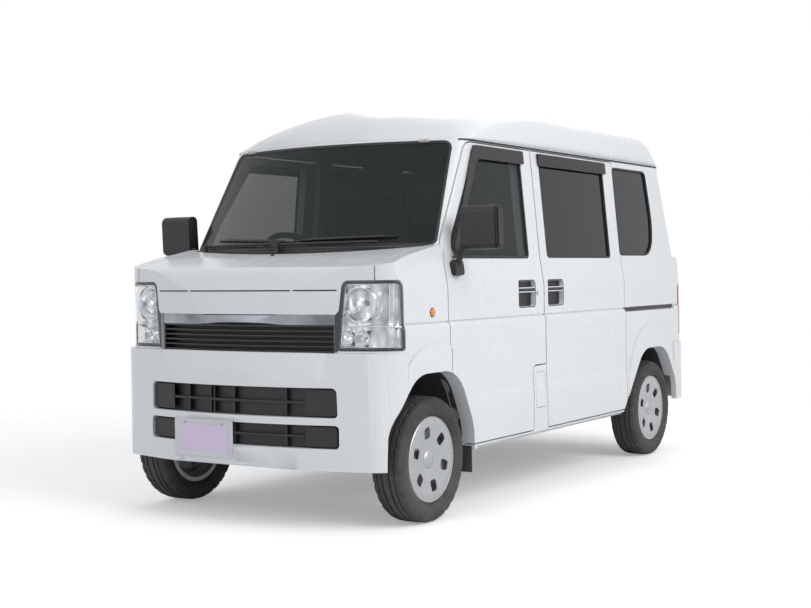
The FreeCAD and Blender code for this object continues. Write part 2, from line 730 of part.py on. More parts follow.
def bright_bar():
    """Plated bar that closes the top of the grille."""
    face_x = X_NOSE - 47
    low, high = BAR_BOTTOM_Z + 0.3, PANEL_BOTTOM_Z
    plan = front_curve(face_x, face_x - 46, 440, 8, GRILLE_HALF + 3, face_x - 130)
    bar = along_z(plan, low, high)
    tube = [(face_x - 135, low, 0), (face_x - 12, low, 6), (face_x + 1, low + 12, 8), (face_x - 9, high, 8),
            (face_x - 135, high, 0)]
    bar = bar.common(along_y(tube, -600, 600))
    return bar.cut(along_z(front_curve(face_x - 30, face_x - 76, 440, 8, GRILLE_HALF - 10, face_x - 140), low - 1, high + 1))


def radiator():
    low = FOOTWELL_Z - FLOOR_SHEET
    tank = RADIATOR_HALF - 28
    core = box(1470, 1512, -tank - 8, tank + 8, low, 696)
    return core.fuse(box(1462, 1520, -RADIATOR_HALF, -tank, low, 700)).fuse(box(1462, 1520, tank, RADIATOR_HALF, low, 700))


def strut_tower(radius, low, high, side):
    return rod(kingpin(side, low), kingpin(side, high), radius)


def floor_pan():
    """Stepped floor with bulkhead, footwell, box over the engine, load floor and wheel housings."""
    t = FLOOR_SHEET
    half = HALF_LOW - WALL - SEAT_GAP
    top = [
        (BULKHEAD_X, 1084), (BULKHEAD_X - 12, 700), (X_FRONT - 60, FOOTWELL_Z + 130), (X_FRONT - 190, FOOTWELL_Z),
        (560, FOOTWELL_Z), (520, TUNNEL_TOP_Z), (-40, TUNNEL_TOP_Z), (-70, FLOOR_Z), (FLOOR_END_X, FLOOR_Z),
        (FLOOR_END_X, 330),
    ]
    under = [
        (BULKHEAD_X + t, 1084), (BULKHEAD_X - 12 + t, 692), (X_FRONT - 48, FOOTWELL_Z + 112),
        (X_FRONT - 182, FOOTWELL_Z - t), (542, FOOTWELL_Z - t), (502, TUNNEL_TOP_Z - t), (-24, TUNNEL_TOP_Z - t),
        (-54, FLOOR_Z - t), (FLOOR_END_X + 12, FLOOR_Z - t), (FLOOR_END_X + 12, 330),
    ]
    floor = along_y([(*p, 0) for p in top + list(reversed(under))], -half, half)
    arches = ((front_arch(), HOUSING_INNER_Y), (rear_arch(), REAR_HOUSING_INNER_Y))
    for outline, inner_y in arches:
        for side in (1, -1):
            floor = floor.cut(span_y(outline, side, inner_y, 800, HOUSING_GROW + 1))
    for outline, inner_y in arches:
        for side in (1, -1):
            housing = span_y(outline, side, inner_y, half, HOUSING_GROW + HOUSING_WALL)
            housing = housing.cut(span_y(outline, side, inner_y + HOUSING_WALL, 800, HOUSING_GROW))
            floor = floor.fuse(housing.common(box(-2000, 2000, -800, 800, Z_HUB + 64, 900)))
    for side in (1, -1):
        below = span_y(front_arch(), side, 200, 800, HOUSING_GROW)
        tower = strut_tower(TOWER_RADIUS + 8, 600, TOWER_TOP_Z + 8, side).cut(below)
        floor = floor.cut(strut_tower(TOWER_RADIUS, 560, TOWER_TOP_Z, side))
        floor = floor.fuse(tower.cut(strut_tower(TOWER_RADIUS, 560, TOWER_TOP_Z, side)))
        floor = floor.cut(span_box(B_LINE_X - 60, DOOR_FRONT_X + GAP, side, half - DOOR_CLEAR, 800, 0, 1400))
        floor = floor.cut(span_box(B_LINE_X - 52, B_LINE_X + 52, side, half - 52, 800, FLOOR_Z - 60, 1400))
        floor = floor.cut(span_box(BULKHEAD_X - 60, BULKHEAD_X + 60, side, half - 36, 800, 880, 1400))
    nose = X_NOSE - NOSE_SETBACK - WALL - SEAT_GAP
    side_y, tail = HALF_FLARE + 5 - WALL - SEAT_GAP, REAR_BODY_X + WALL + SEAT_GAP
    plan = front_curve(nose + 12, nose - 48, 500, 150, side_y, 0)
    plan = [(tail, side_y, 115), *plan[1:-1], (tail, -side_y, 115)]
    return floor.common(along_z(plan, 0, 1400))


def load_board():
    """Flat board on the rear floor, between the wheel housings."""
    return box(LOAD_DECK_REAR, LOAD_DECK_FRONT, -LOAD_DECK_HALF, LOAD_DECK_HALF, FLOOR_Z, FLOOR_Z + LOAD_BOARD)


def chassis():
    """Two long rails with cross members, clear of the steered wheels."""
    top = FOOTWELL_Z - FLOOR_SHEET - SEAT_GAP
    rear_top = FLOOR_Z - FLOOR_SHEET - SEAT_GAP
    outline = [
        (X_FRONT + 300, top, 0), (X_FRONT + 300, 345, 0), (X_FRONT - 160, 345, 0), (X_FRONT - 360, RAIL_BOTTOM_Z, 0),
        (X_REAR + 420, RAIL_BOTTOM_Z, 0), (X_REAR + 220, 480, 0), (X_REAR - 250, 480, 0), (-1520, 440, 0),
        (-1520, rear_top, 0), (X_REAR + 200, rear_top, 0), (X_REAR + 440, top, 0),
    ]
    frame = None
    for side in (1, -1):
        low, high = sorted((side * RAIL_INNER_Y, side * (RAIL_INNER_Y + RAIL_WIDTH)))
        rail = along_y(outline, low, high)
        frame = rail if frame is None else frame.fuse(rail)
    for x, z in ((X_FRONT + 245, top - 55), (X_FRONT - 420, RAIL_BOTTOM_Z), (-260, RAIL_BOTTOM_Z), (-1497, rear_top - 55)):
        frame = frame.fuse(box(x - 28, x + 28, -RAIL_INNER_Y - 1, RAIL_INNER_Y + 1, z, z + (55 if z > 350 else 45)))
    eye = Part.makeCylinder(26, TOW_EYE_DEPTH, V(TOW_EYE_X, TOW_EYE_Y, TOW_EYE_Z))
    eye = eye.fuse(box(X_FRONT + 290, TOW_EYE_X - 10, TOW_EYE_Y - 16, TOW_EYE_Y + 16, TOW_EYE_Z, TOW_EYE_Z + TOW_EYE_DEPTH))
    bore = Part.makeCylinder(TOW_EYE_BORE, TOW_EYE_DEPTH + 20, V(TOW_EYE_X, TOW_EYE_Y, TOW_EYE_Z - 10))
    return frame.fuse(eye).cut(bore).removeSplitter()


def wheel_point(corner_name):
    x = X_FRONT if corner_name[0] == "f" else X_REAR
    side = 1 if corner_name[1] == "l" else -1
    return V(x, side * Y_WHEEL, Z_HUB), side


def tyre(corner_name):
    centre, side = wheel_point(corner_name)
    half, r, seat_r = TYRE_WIDTH / 2, TYRE_RADIUS, RIM_RADIUS + SEAT_GAP
    w = RIM_WIDTH / 2 - 5
    tip, bow = bowed(r, r - 4, half - 22)
    shoulder = tip - (tip - (r - 4)) * (half - 10) / (half - 22)
    outline = [
        (seat_r, -w), (seat_r, -w + 14), (seat_r + 26, -half + 22), (r - 18, -half + 20),
        (r - 18, half - 20), (seat_r + 26, half - 22), (seat_r, w - 14), (seat_r, w),
        (FLANGE_RADIUS + 2, w), (r - 50, half, 34), (shoulder, half - 10, 16),
        (tip, 0, bow), (shoulder, -half + 10, 16), (r - 50, -half, 34), (FLANGE_RADIUS + 2, -w),
    ]
    return turned(outline, centre)


def wheel(corner_name):
    """Steel wheel with its hub boss and the full cover with six windows."""
    centre, side = wheel_point(corner_name)
    w, t, r = RIM_WIDTH / 2, 4.0, RIM_RADIUS
    rim = turned([
        (FLANGE_RADIUS, w), (FLANGE_RADIUS, w - 4), (r, w - 4.7), (r, w - 20), (r - 22, w - 34),
        (r - 22, -w + 34), (r, -w + 20), (r, -w + 4.7), (FLANGE_RADIUS, -w + 4), (FLANGE_RADIUS, -w),
        (r - t, -w), (r - t, -w + 22), (r - 22 - t, -w + 36), (r - 22 - t, w - 36), (r - t, w - 22), (r - t, w),
    ], centre)
    out = V(0, side, 0)
    disc = turned([
        (HUB_BORE, -30), (62, -30), (62, -12), (120, -2), (r - 24, 14),
        (r - 24, 20), (118, 6), (56, -4), (56, 20), (HUB_BORE, 20),
    ], centre, out)
    face = w + 3
    cover = turned([
        (0, face - 6, 0), (34, face - 6, 5), (40, face - 12, 6), (60, face - 10, 20), (150, face, 30),
        (FLANGE_RADIUS + 1, face, 2), (FLANGE_RADIUS + 1, w + 0.5), (r - 8, w + 0.5), (150, face - 5),
        (60, face - 15), (38, face - 17), (30, face - 13), (0, face - 13),
    ], centre, out)
    window = Part.makeBox(44, 60, 50, V(-22, 20, 90))
    window = window.makeFillet(13, [e for e in window.Edges if abs(e.tangentAt(e.FirstParameter).y) > 0.9])
    for i in range(6):
        hole = window.copy()
        hole.rotate(V(0, 0, 0), V(0, 1, 0), 60 * i + 12)
        hole = hole if side > 0 else other_side(hole)
        hole.translate(centre)
        cover = cover.cut(hole)
    skirt = turned([(r - 24, 16, 0), (r - 8.5, 16, 0), (r - 8.5, w + 2, 0), (r - 12, w + 2, 0), (r - 12, 20, 0), (r - 24, 20, 0)],
                   centre, out)
    rest = turned([(r - 26, 13, 0), (r - 3, 22, 0), (r - 3, 26, 0), (r - 26, 19, 0)], centre, out)
    return rim.fuse(disc).fuse(cover).fuse(skirt).fuse(rest)


def kingpin(side, z):
    share = (z - KINGPIN_LOW_Z) / (KINGPIN_TOP_Z - KINGPIN_LOW_Z)
    return V(X_FRONT, side * (KINGPIN_LOW_Y + (KINGPIN_TOP_Y - KINGPIN_LOW_Y) * share), z)


def knuckle(side):
    """Upright with spindle, brake backing and lower strut tube, turning about the steering axis."""
    part = rod(V(X_FRONT, side * 566, Z_HUB), V(X_FRONT, side * (Y_WHEEL + 12), Z_HUB), HUB_BORE - HUB_PLAY)
    shield = rod(V(X_FRONT, side * 562, Z_HUB), V(X_FRONT, side * (Y_WHEEL - 37), Z_HUB), 92)
    part = part.fuse(shield.cut(box(X_FRONT - 100, X_FRONT + 100, -700, 700, 100, Z_HUB - 20)))
    part = part.fuse(rod(kingpin(side, KINGPIN_LOW_Z + 26), kingpin(side, 560), 24))
    part = part.fuse(rod(V(X_FRONT, side * 570, Z_HUB - 28), V(X_FRONT - 108, side * 540, Z_HUB - 28), 12))
    part = part.cut(rod(kingpin(side, 470), kingpin(side, 600), STRUT_ROD + HUB_PLAY))
    return part.cut(rod(kingpin(side, 170), kingpin(side, KINGPIN_LOW_Z + 52), BALL_STUD + HUB_PLAY))


def front_suspension():
    """Lower arms with their ball joints, strut rods with coil springs, subframe and steering rack."""
    rack = rod(V(X_FRONT - 172, -330, Z_HUB - 6), V(X_FRONT - 172, 330, Z_HUB - 6), 20)
    made = box(X_FRONT - 56, X_FRONT + 44, -340, 340, 276, 345 - SEAT_GAP).fuse(rack)
    made = made.fuse(box(X_FRONT - 190, X_FRONT - 50, -60, 60, 278, 318))
    made = made.fuse(rod(V(X_FRONT - 172, 0, Z_HUB - 6), V(X_FRONT - 130, 0, 300), 24))
    for side in (1, -1):
        ball = kingpin(side, KINGPIN_LOW_Z - 16)
        made = made.fuse(rod(V(X_FRONT - 20, side * 330, 292), ball, 16))
        made = made.fuse(rod(V(X_FRONT + 190, side * 322, 318), ball, 12))
        made = made.fuse(box(X_FRONT + 165, X_FRONT + 215, *sorted((side * 308, side * 336)), 300, 345 - SEAT_GAP))
        made = made.fuse(rod(V(X_FRONT - 172, side * 329, Z_HUB - 6), V(X_FRONT - 150, side * 455, Z_HUB - 30), 9))
        made = made.fuse(Part.makeSphere(21, ball))
        made = made.fuse(rod(ball, kingpin(side, KINGPIN_LOW_Z + 48), BALL_STUD))
        made = made.fuse(rod(kingpin(side, 476), kingpin(side, TOWER_TOP_Z - 10), STRUT_ROD))
        made = made.fuse(rod(kingpin(side, 566), kingpin(side, 576), 58))
        made = made.fuse(rod(kingpin(side, TOWER_TOP_Z - 14), kingpin(side, TOWER_TOP_Z - SEAT_GAP), 60))
        made = made.fuse(coil(kingpin(side, 572), kingpin(side, TOWER_TOP_Z - 10), 46, 6, 5))
    return made


def coil(start, end, radius, wire_radius, turns):
    """Coil spring from start to end."""
    height = (end - start).Length
    spine = Part.makeHelix(height / turns, height, radius)
    section = Part.Wire(Part.makeCircle(wire_radius, V(radius, 0, 0), V(0, 1, 0)))
    spring = Part.Wire(spine.Edges).makePipeShell([section], True, True)
    spring.Placement = FreeCAD.Placement(start, FreeCAD.Rotation(V(0, 0, 1), end - start))
    return spring


def rear_axle():
    """Rigid driven axle with brake drums, differential, trailing arms and coil springs."""
    reach = Y_WHEEL + 12
    made = rod(V(X_REAR, -540, Z_HUB), V(X_REAR, 540, Z_HUB), 34)
    made = made.fuse(rod(V(X_REAR, -reach, Z_HUB), V(X_REAR, reach, Z_HUB), HUB_BORE - HUB_PLAY))
    made = made.fuse(Part.makeSphere(118, V(X_REAR, 60, Z_HUB)))
    top = 480 - SEAT_GAP
    for side in (1, -1):
        made = made.fuse(rod(V(X_REAR, side * 538, Z_HUB), V(X_REAR, side * (Y_WHEEL - 37), Z_HUB), 108))
        made = made.fuse(rod(V(X_REAR, side * 420, Z_HUB - 20), V(X_REAR + 400, side * 405, 318), 16))
        made = made.fuse(rod(V(X_REAR + 400, side * (RAIL_INNER_Y + RAIL_WIDTH + SEAT_GAP), 318),
                             V(X_REAR + 400, side * 425, 318), 20))
        seat_y = side * (RAIL_INNER_Y + RAIL_WIDTH / 2)
        made = made.fuse(rod(V(X_REAR, seat_y, Z_HUB), V(X_REAR, seat_y, Z_HUB + 46), 52))
        made = made.fuse(coil(V(X_REAR, seat_y, Z_HUB + 42), V(X_REAR, seat_y, top - 6), 42, 6, 4))
        made = made.fuse(rod(V(X_REAR, seat_y, top - 10), V(X_REAR, seat_y, top), 50))
    return made


def drivetrain():
    """Engine block under the front seats, gearbox and propeller shaft."""
    engine = box(10, 450, -225, 225, 290, 640)
    mounts = box(200, 262, -RAIL_INNER_Y + SEAT_GAP, RAIL_INNER_Y - SEAT_GAP, 360, 420)
    top = RAIL_BOTTOM_Z + 45 + SEAT_GAP
    gearbox = along_y([(12, top, 0), (12, 520, 0), (-240, 490, 40), (-540, 430, 30), (-560, top, 20)], -112, 112)
    shaft = rod(V(-550, 20, 388), V(X_REAR + 118, 56, Z_HUB + 20), 29)
    return engine.fuse(mounts).fuse(gearbox).fuse(shaft)


def exhaust():
    """Pipe from the engine, silencer behind the axle and tail pipe."""
    z = RAIL_BOTTOM_Z + 45 + 22
    points = [V(60, -225 - SEAT_GAP, z), V(60, -255, z), V(-420, -240, z), V(-760, -235, z + 10), V(-960, -240, 440),
              V(-1250, -240, 440), V(-1360, -200, 420)]
    made = Part.makeCylinder(78, 420, V(-1415, -250, 415), V(0, 1, 0))
    for a, b in zip(points, points[1:]):
        made = made.fuse(rod(a, b, 21)).fuse(Part.makeSphere(21, b))
    tail = [V(-1430, -200, 390), V(-1500, -200, 300), V(-1636, -205, 278)]
    for a, b in zip(tail, tail[1:]):
        made = made.fuse(rod(a, b, 18)).fuse(Part.makeSphere(18, a))
    hanger_top = FLOOR_Z - FLOOR_SHEET - SEAT_GAP
    made = made.fuse(box(-1424, -1400, -150, -130, 480, hanger_top)).fuse(box(-1424, -1400, 80, 100, 480, hanger_top))
    return made.cut(box(0, 120, -225 - SEAT_GAP, -100, 300, 450))


def fuel_tank():
    low, high = 128, RAIL_INNER_Y - SEAT_GAP
    tank = box(-740, -120, low, high, RAIL_BOTTOM_Z + 45 + SEAT_GAP, FLOOR_Z - 60)
    edges = [e for e in tank.Edges if abs(e.tangentAt(e.FirstParameter).x) > 0.9]
    return tank.makeFillet(24, edges)


def dashboard():
    """Dash moulding with the instrument hood, centre stack and steering column shroud."""
    outline = [(BULKHEAD_X - 0.6, 1083, 0), (1240, 1134, 20), (1180, 1142, 60), (985, 1112, 40), (948, 1050, 30),
               (985, 900, 40), (1100, 812, 30), (BULKHEAD_X - 9, 812, 0)]
    dash = along_y(outline, -628, 628)
    dash = dash.cut(box(900, 1400, -628, -60, 700, 880)).cut(box(900, 1400, 110, 628, 700, 880))
    hood = along_y([(1120, 1120, 0), (1060, 1188, 40), (950, 1150, 16), (975, 1080, 0)], DRIVER_Y - 150, DRIVER_Y + 150)
    inner = lower_body(WALL + 12).fuse(upper_body(WALL + 12, BELT_Z - WALL - 45, DRIP_Z))
    dash = dash.fuse(hood).common(inner)
    column = rod(column_point(70), column_point(330), 38)
    return dash.fuse(column).cut(rod(column_point(40), column_point(250), COLUMN_SHAFT + HUB_PLAY))


def column_point(distance):
    """Point on the steering column axis, measured from the wheel's centre towards the dash."""
    lean = math.radians(COLUMN_LEAN)
    return V(STEER_X + distance * math.cos(lean), DRIVER_Y, STEER_Z - distance * math.sin(lean))


def steering_wheel():
    centre = column_point(0)
    axis = column_point(1) - centre
    rim = Part.makeTorus(STEER_RADIUS, 14, centre, axis)
    made = rim.fuse(rod(column_point(-6), column_point(60), 58)).fuse(rod(centre, column_point(240), COLUMN_SHAFT))
    across = V(0, 1, 0)
    down = axis.cross(across)
    for direction in (across, -across, -down if down.z > 0 else down):
        spoke = rod(centre + axis * 12, centre + direction * STEER_RADIUS, 12)
        made = made.fuse(spoke)
    return made


def front_seats():
    """Two front seats on the box over the engine, each with a back and head restraint."""
    made = []
    base_z = TUNNEL_TOP_Z + SEAT_GAP
    for side in (1, -1):
        y = side * abs(DRIVER_Y)
        base = box(150, 500, y - 180, y + 180, base_z, base_z + 60)
        cushion = along_y([(110, 805, 25), (105, 930, 40), (620, 955, 50), (640, 830, 35)], y - 232, y + 232)
        back = along_y([(70, 880, 30), (190, 870, 40), (95, 1440, 70), (-35, 1440, 50)], y - 222, y + 222)
        rest = along_y([(-28, 1470, 25), (62, 1475, 30), (40, 1630, 40), (-36, 1620, 30)], y - 125, y + 125)
        posts = box(10, 24, y - 60, y - 46, 1400, 1500).fuse(box(10, 24, y + 46, y + 60, 1400, 1500))
        made.append(base.fuse(cushion).fuse(back).fuse(rest).fuse(posts))
    return Part.makeCompound(made)


def rear_seat():
    """Folding bench behind the front seats."""
    base_z = FLOOR_Z + SEAT_GAP
    cushion = along_y([(-590, 800, 30), (-600, 905, 35), (-180, 925, 45), (-170, 820, 30)], -560, 560)
    back = along_y([(-650, 860, 30), (-560, 850, 30), (-640, 1330, 50), (-730, 1320, 40)], -560, 560)
    legs = [box(x, x + 30, y - 15, y + 15, base_z, 830) for x in (-560, -240) for y in (-480, -20, 480)]
    made = cushion.fuse(back)
    for leg in legs:
        made = made.fuse(leg)
    return made


def door_trim(side):
    """Door mirror with its stalk and foot, and the smoked visor over the window."""
    skin = lower_body(-SEAT_GAP).fuse(upper_body(-SEAT_GAP))
    foot = along_y([(1000, 1040, 14), (1076, 1034, 22), (1082, 1096, 20), (1020, 1112, 30)], 690, 735)
    stalk = rod(V(1046, 722, 1072), V(1052, 762, 1180), 13)
    shape = [(1010, 1145, 24), (1078, 1150, 26), (1086, 1330, 30), (1022, 1340, 26)]
    head = along_y(shape, 758, 926).fuse(along_y(shape, 925, 934, -5)).fuse(along_y(shape, 933, 940, -12))
    face = along_y([(1000, 1168, 10), (1016, 1168, 4), (1024, 1318, 4), (1000, 1318, 4)], 776, 922)
    visor_shape = [(B_LINE_X + 96, 1560, 10), (DOOR_FRONT_X - 360, 1560, 60), (DOOR_FRONT_X - 110, 1150, 6),
                   (DOOR_FRONT_X - 80, 1150, 8), (DOOR_FRONT_X - 336, 1622, 50), (B_LINE_X + 96, 1622, 10)]
    visor = upper_body(-12).cut(upper_body(-9)).common(along_y(visor_shape, 500, 800))
    clips = upper_body(-10).common(along_y([(B_LINE_X + 100, 1610, 0), (DOOR_FRONT_X - 350, 1610, 0),
                                            (DOOR_FRONT_X - 345, 1620, 0), (B_LINE_X + 100, 1620, 0)], 500, 800))
    made = foot.fuse(stalk).cut(skin).fuse(head).cut(face).fuse(visor.fuse(clips.cut(skin)))
    return made if side > 0 else other_side(made)


def side_trim():
    """Smoked visors over the sliding door windows and the rails that the doors run on."""
    skin = lower_body(-SEAT_GAP).fuse(upper_body(-SEAT_GAP))
    rear, front = SLIDE_REAR_X + 110, B_LINE_X - 60
    visor = upper_body(-12).cut(upper_body(-9)).common(
        along_y([(rear, 1562, 10), (front, 1562, 10), (front, 1622, 10), (rear, 1622, 10)], 500, 800))
    clip = [(rear + 5, 1610, 0), (front - 5, 1610, 0), (front - 5, 1620, 0), (rear + 5, 1620, 0)]
    clip = upper_body(-10).common(along_y(clip, 500, 800)).cut(skin)
    rail = along_y([(-1462, 826, 4), (SLIDE_REAR_X - 6, 826, 0), (SLIDE_REAR_X - 6, 844, 0), (-1462, 844, 4)],
                   HALF_UP - 14 + SEAT_GAP, HALF_UP - 7)
    pieces = [visor.fuse(clip), rail]
    return Part.makeCompound(pieces + [other_side(piece) for piece in pieces])


def wipers():
    """Two wiper arms on their pivots, parked along the foot of the windscreen."""
    made = []
    for pivot_y, length in ((-560, 520), (-60, 500)):
        foot_x, tip_x = cowl_x(pivot_y) + 14, cowl_x(pivot_y + length) + 20
        foot = V(foot_x, pivot_y, COWL_Z - 30)
        tip = V(tip_x, pivot_y + length, COWL_Z + 26)
        knee = V(foot_x, pivot_y, COWL_Z + 22)
        made.append(rod(foot, knee, 11).fuse(rod(V(0, 0, -8) + knee, knee + V(0, 0, 9), 16)).fuse(rod(knee, tip, 6)))
    skin = lower_body(-2 * SEAT_GAP)
    return Part.makeCompound([piece.cut(skin) for piece in made])


def cowl_x(y):
    """Front of the windscreen's foot at a given distance from the middle."""
    plan_r = 1560.0
    return 1277 - (plan_r - math.sqrt(plan_r ** 2 - y * y)) + 8


def mud_flaps():
    """Rubber flaps on the rear edge of the front arches, hanging below the sill."""
    strip = along_y(front_arch(), 585, 722, -SEAT_GAP).cut(along_y(front_arch(), 500, 800, -3 - SEAT_GAP))
    behind = strip.common(box(900, X_FRONT - 250, 585, 667, 172, 400))
    flap = behind.fuse(strip.common(box(900, X_FRONT - 250, 585, 722, 172, 288)))
    return Part.makeCompound([flap, other_side(flap)])


print("start")
export_shell()
for name, shape in (
    ("front_bumper", front_bumper()), ("bumper_grille", slot_liner()), ("rear_bumper", rear_bumper()),
    ("grille", grille()), ("bright_bar", bright_bar()), ("radiator", radiator()), ("floor", floor_pan()),
    ("chassis_frame", chassis()), ("front_suspension", front_suspension()), ("rear_axle", rear_axle()),
    ("drivetrain", drivetrain()), ("exhaust", exhaust()), ("fuel_tank", fuel_tank()), ("dashboard", dashboard()),
    ("steering_wheel", steering_wheel()), ("front_seats", front_seats()), ("rear_seat", rear_seat()),
    ("side_trim", side_trim()), ("wipers", wipers()), ("mud_flaps", mud_flaps()), ("load_board", load_board()),
):
    keep(name, shape)
for name, side in SIDES.items():
    keep("knuckle_" + name, knuckle(side))
    keep("door_trim_" + name, door_trim(side))
for name in ("fl", "fr", "rl", "rr"):
    keep("tyre_" + name, tyre(name))
    keep("wheel_" + name, wheel(name))
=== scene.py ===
"""Looks of the kei van: materials, soft seats, lamps, seals, tread and trim, roof pressing and studio.

Metres, +X forward, +Y to the van's left, +Z up. Outlines laid on a side of the van are in millimetres."""
import math

import bmesh
import bpy
from mathutils import Matrix, Vector
from mathutils.bvhtree import BVHTree

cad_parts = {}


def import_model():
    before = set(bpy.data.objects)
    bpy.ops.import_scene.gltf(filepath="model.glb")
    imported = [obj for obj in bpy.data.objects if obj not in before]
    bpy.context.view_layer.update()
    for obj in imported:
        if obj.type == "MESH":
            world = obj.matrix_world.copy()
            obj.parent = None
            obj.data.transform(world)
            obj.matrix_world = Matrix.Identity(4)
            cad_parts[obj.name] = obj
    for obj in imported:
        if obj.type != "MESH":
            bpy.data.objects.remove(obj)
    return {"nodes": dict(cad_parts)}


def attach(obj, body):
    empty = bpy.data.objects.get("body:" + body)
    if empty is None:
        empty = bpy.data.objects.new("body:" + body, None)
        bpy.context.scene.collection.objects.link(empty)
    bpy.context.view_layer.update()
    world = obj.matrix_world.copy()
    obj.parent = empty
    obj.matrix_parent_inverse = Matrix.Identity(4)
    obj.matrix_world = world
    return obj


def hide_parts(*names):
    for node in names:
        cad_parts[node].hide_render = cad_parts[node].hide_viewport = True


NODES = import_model()["nodes"]
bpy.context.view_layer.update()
SIDES = {"left": 1, "right": -1}
X_FRONT, X_REAR, Y_WHEEL, Z_HUB = 1.2475, -1.1525, 0.640, 0.266
MATERIALS = {}


# ---------------------------------------------------------------- materials
def shader(name, values=None, see_through=False):
    """New material, kept under its name: its node tree and its main shader, set to these values."""
    MATERIALS[name] = made = bpy.data.materials.new(name)
    made.use_nodes = True
    if see_through:
        made.blend_method = "BLEND"
    bsdf = made.node_tree.nodes["Principled BSDF"]
    for socket, value in (values or {}).items():
        bsdf.inputs[socket].default_value = value
    return made.node_tree, bsdf


def add(tree, kind, **values):
    node = tree.nodes.new(kind)
    for key, value in values.items():
        if key in node.inputs:
            node.inputs[key].default_value = value
        else:
            setattr(node, key, value)
    return node


def place_on(tree, stretch=None):
    """Place on the object, for a texture; stretch is for grain that runs one way."""
    place = add(tree, "ShaderNodeTexCoord").outputs["Object"]
    if stretch:
        mapping = add(tree, "ShaderNodeMapping", Scale=stretch)
        tree.links.new(place, mapping.inputs["Vector"])
        place = mapping.outputs["Vector"]
    return place


def noise(tree, scale, detail=3.0, rough=0.55, stretch=None):
    made = add(tree, "ShaderNodeTexNoise", Scale=scale, Detail=detail, Roughness=rough)
    tree.links.new(place_on(tree, stretch), made.inputs["Vector"])
    return made.outputs["Fac"]


def spread(tree, value, low, high, start=0.3, end=0.7):
    """The value mapped from start..end to low..high."""
    made = add(tree, "ShaderNodeMapRange", **{"From Min": start, "From Max": end, "To Min": low, "To Max": high})
    tree.links.new(value, made.inputs["Value"])
    return made.outputs["Result"]


def tinted(tree, factor, first, second):
    """Mix of two colours; either may be the output of another node."""
    made = add(tree, "ShaderNodeMix", data_type="RGBA")
    for socket, value in zip([s for s in made.inputs if s.type == "RGBA"], (first, second)):
        if isinstance(value, tuple):
            socket.default_value = (*value, 1)
        else:
            tree.links.new(value, socket)
    tree.links.new(factor, made.inputs["Factor"])
    return next(s for s in made.outputs if s.type == "RGBA")


def bumped(tree, bsdf, height, strength, distance=0.001):
    made = add(tree, "ShaderNodeBump", Strength=strength, Distance=distance)
    tree.links.new(height, made.inputs["Height"])
    tree.links.new(made.outputs["Normal"], bsdf.inputs["Normal"])


ROAD_DUST, DUST_FULL, DUST_END = (0.30, 0.28, 0.25), 0.22, 0.62  # colour, and the heights where it is full and gone


def finish(name, colour, rough, metal=0.0, vary=0.06, scale=14.0, grain=0.0, grain_scale=900.0, coat=0.0, dust=0.0,
           specular=0.5):
    """Painted, moulded or metal surface: uneven colour and gloss, grain, and road dust low down."""
    tree, bsdf = shader(name, {"Metallic": metal, "Specular IOR Level": specular, "Coat Weight": coat,
                               "Coat Roughness": 0.05})
    darker = tuple(c * (1 - vary) for c in colour)
    base = tinted(tree, spread(tree, noise(tree, scale, 4.0, 0.6), 0, 1), darker, colour)
    if dust:
        place = add(tree, "ShaderNodeSeparateXYZ")
        tree.links.new(place_on(tree), place.inputs["Vector"])
        share = add(tree, "ShaderNodeMath", operation="MULTIPLY")
        tree.links.new(spread(tree, place.outputs["Z"], 1, 0, DUST_FULL, DUST_END), share.inputs[0])
        tree.links.new(spread(tree, noise(tree, 9, 6.0, 0.7), dust * 0.3, dust), share.inputs[1])
        base = tinted(tree, share.outputs[0], base, ROAD_DUST)
    tree.links.new(base, bsdf.inputs["Base Color"])
    gloss = spread(tree, noise(tree, scale * 3), rough * 0.82, min(1.0, rough * 1.2))
    tree.links.new(gloss, bsdf.inputs["Roughness"])
    if grain:
        bumped(tree, bsdf, noise(tree, grain_scale, 2.0), grain)


def pane(name, tint, alpha, rough=0.03):
    """Glass or smoked sheet: tinted, partly see-through, with faint streaks in its gloss."""
    tree, bsdf = shader(name, {"Alpha": alpha, "IOR": 1.34}, see_through=True)
    streak = noise(tree, 5, 4.0, 0.6, (1, 1, 6))
    lighter = tuple(c * 1.25 for c in tint)
    tree.links.new(tinted(tree, spread(tree, streak, 0, 1), tint, lighter), bsdf.inputs["Base Color"])
    tree.links.new(spread(tree, streak, rough, rough * 1.8), bsdf.inputs["Roughness"])


def ribbed_lens(name, tint, alpha):
    """Coloured lamp glass with upright ribs."""
    tree, bsdf = shader(name, {"Alpha": alpha, "Roughness": 0.08}, see_through=True)
    wave = add(tree, "ShaderNodeTexWave", Scale=26.0, Distortion=0.0, bands_direction="Y")
    tree.links.new(place_on(tree), wave.inputs["Vector"])
    lighter = tuple(min(1, c * 1.2) for c in tint)
    tree.links.new(tinted(tree, wave.outputs["Fac"], tint, lighter), bsdf.inputs["Base Color"])
    bumped(tree, bsdf, wave.outputs["Fac"], 0.25, 0.002)


def fluted(name, colour):
    """Silvered reflector pressed in flutes and facets, its colour darkened towards the facets' edges as painted shade.
    """
    tree, bsdf = shader(name, {"Metallic": 1.0, "Roughness": 0.12})
    cells = add(tree, "ShaderNodeTexVoronoi", Scale=26.0)
    tree.links.new(place_on(tree, (1.0, 1.0, 0.45)), cells.inputs["Vector"])
    # Painted shade: the silver darkens to about a third towards each facet's edge. The pressing itself is the bump
    # below.
    shade = spread(tree, cells.outputs["Distance"], 0, 1, 0.1, 0.8)
    darker = tuple(c * 0.35 for c in colour)
    tree.links.new(tinted(tree, shade, colour, darker), bsdf.inputs["Base Color"])
    bumped(tree, bsdf, cells.outputs["Distance"], 0.9, 0.012)


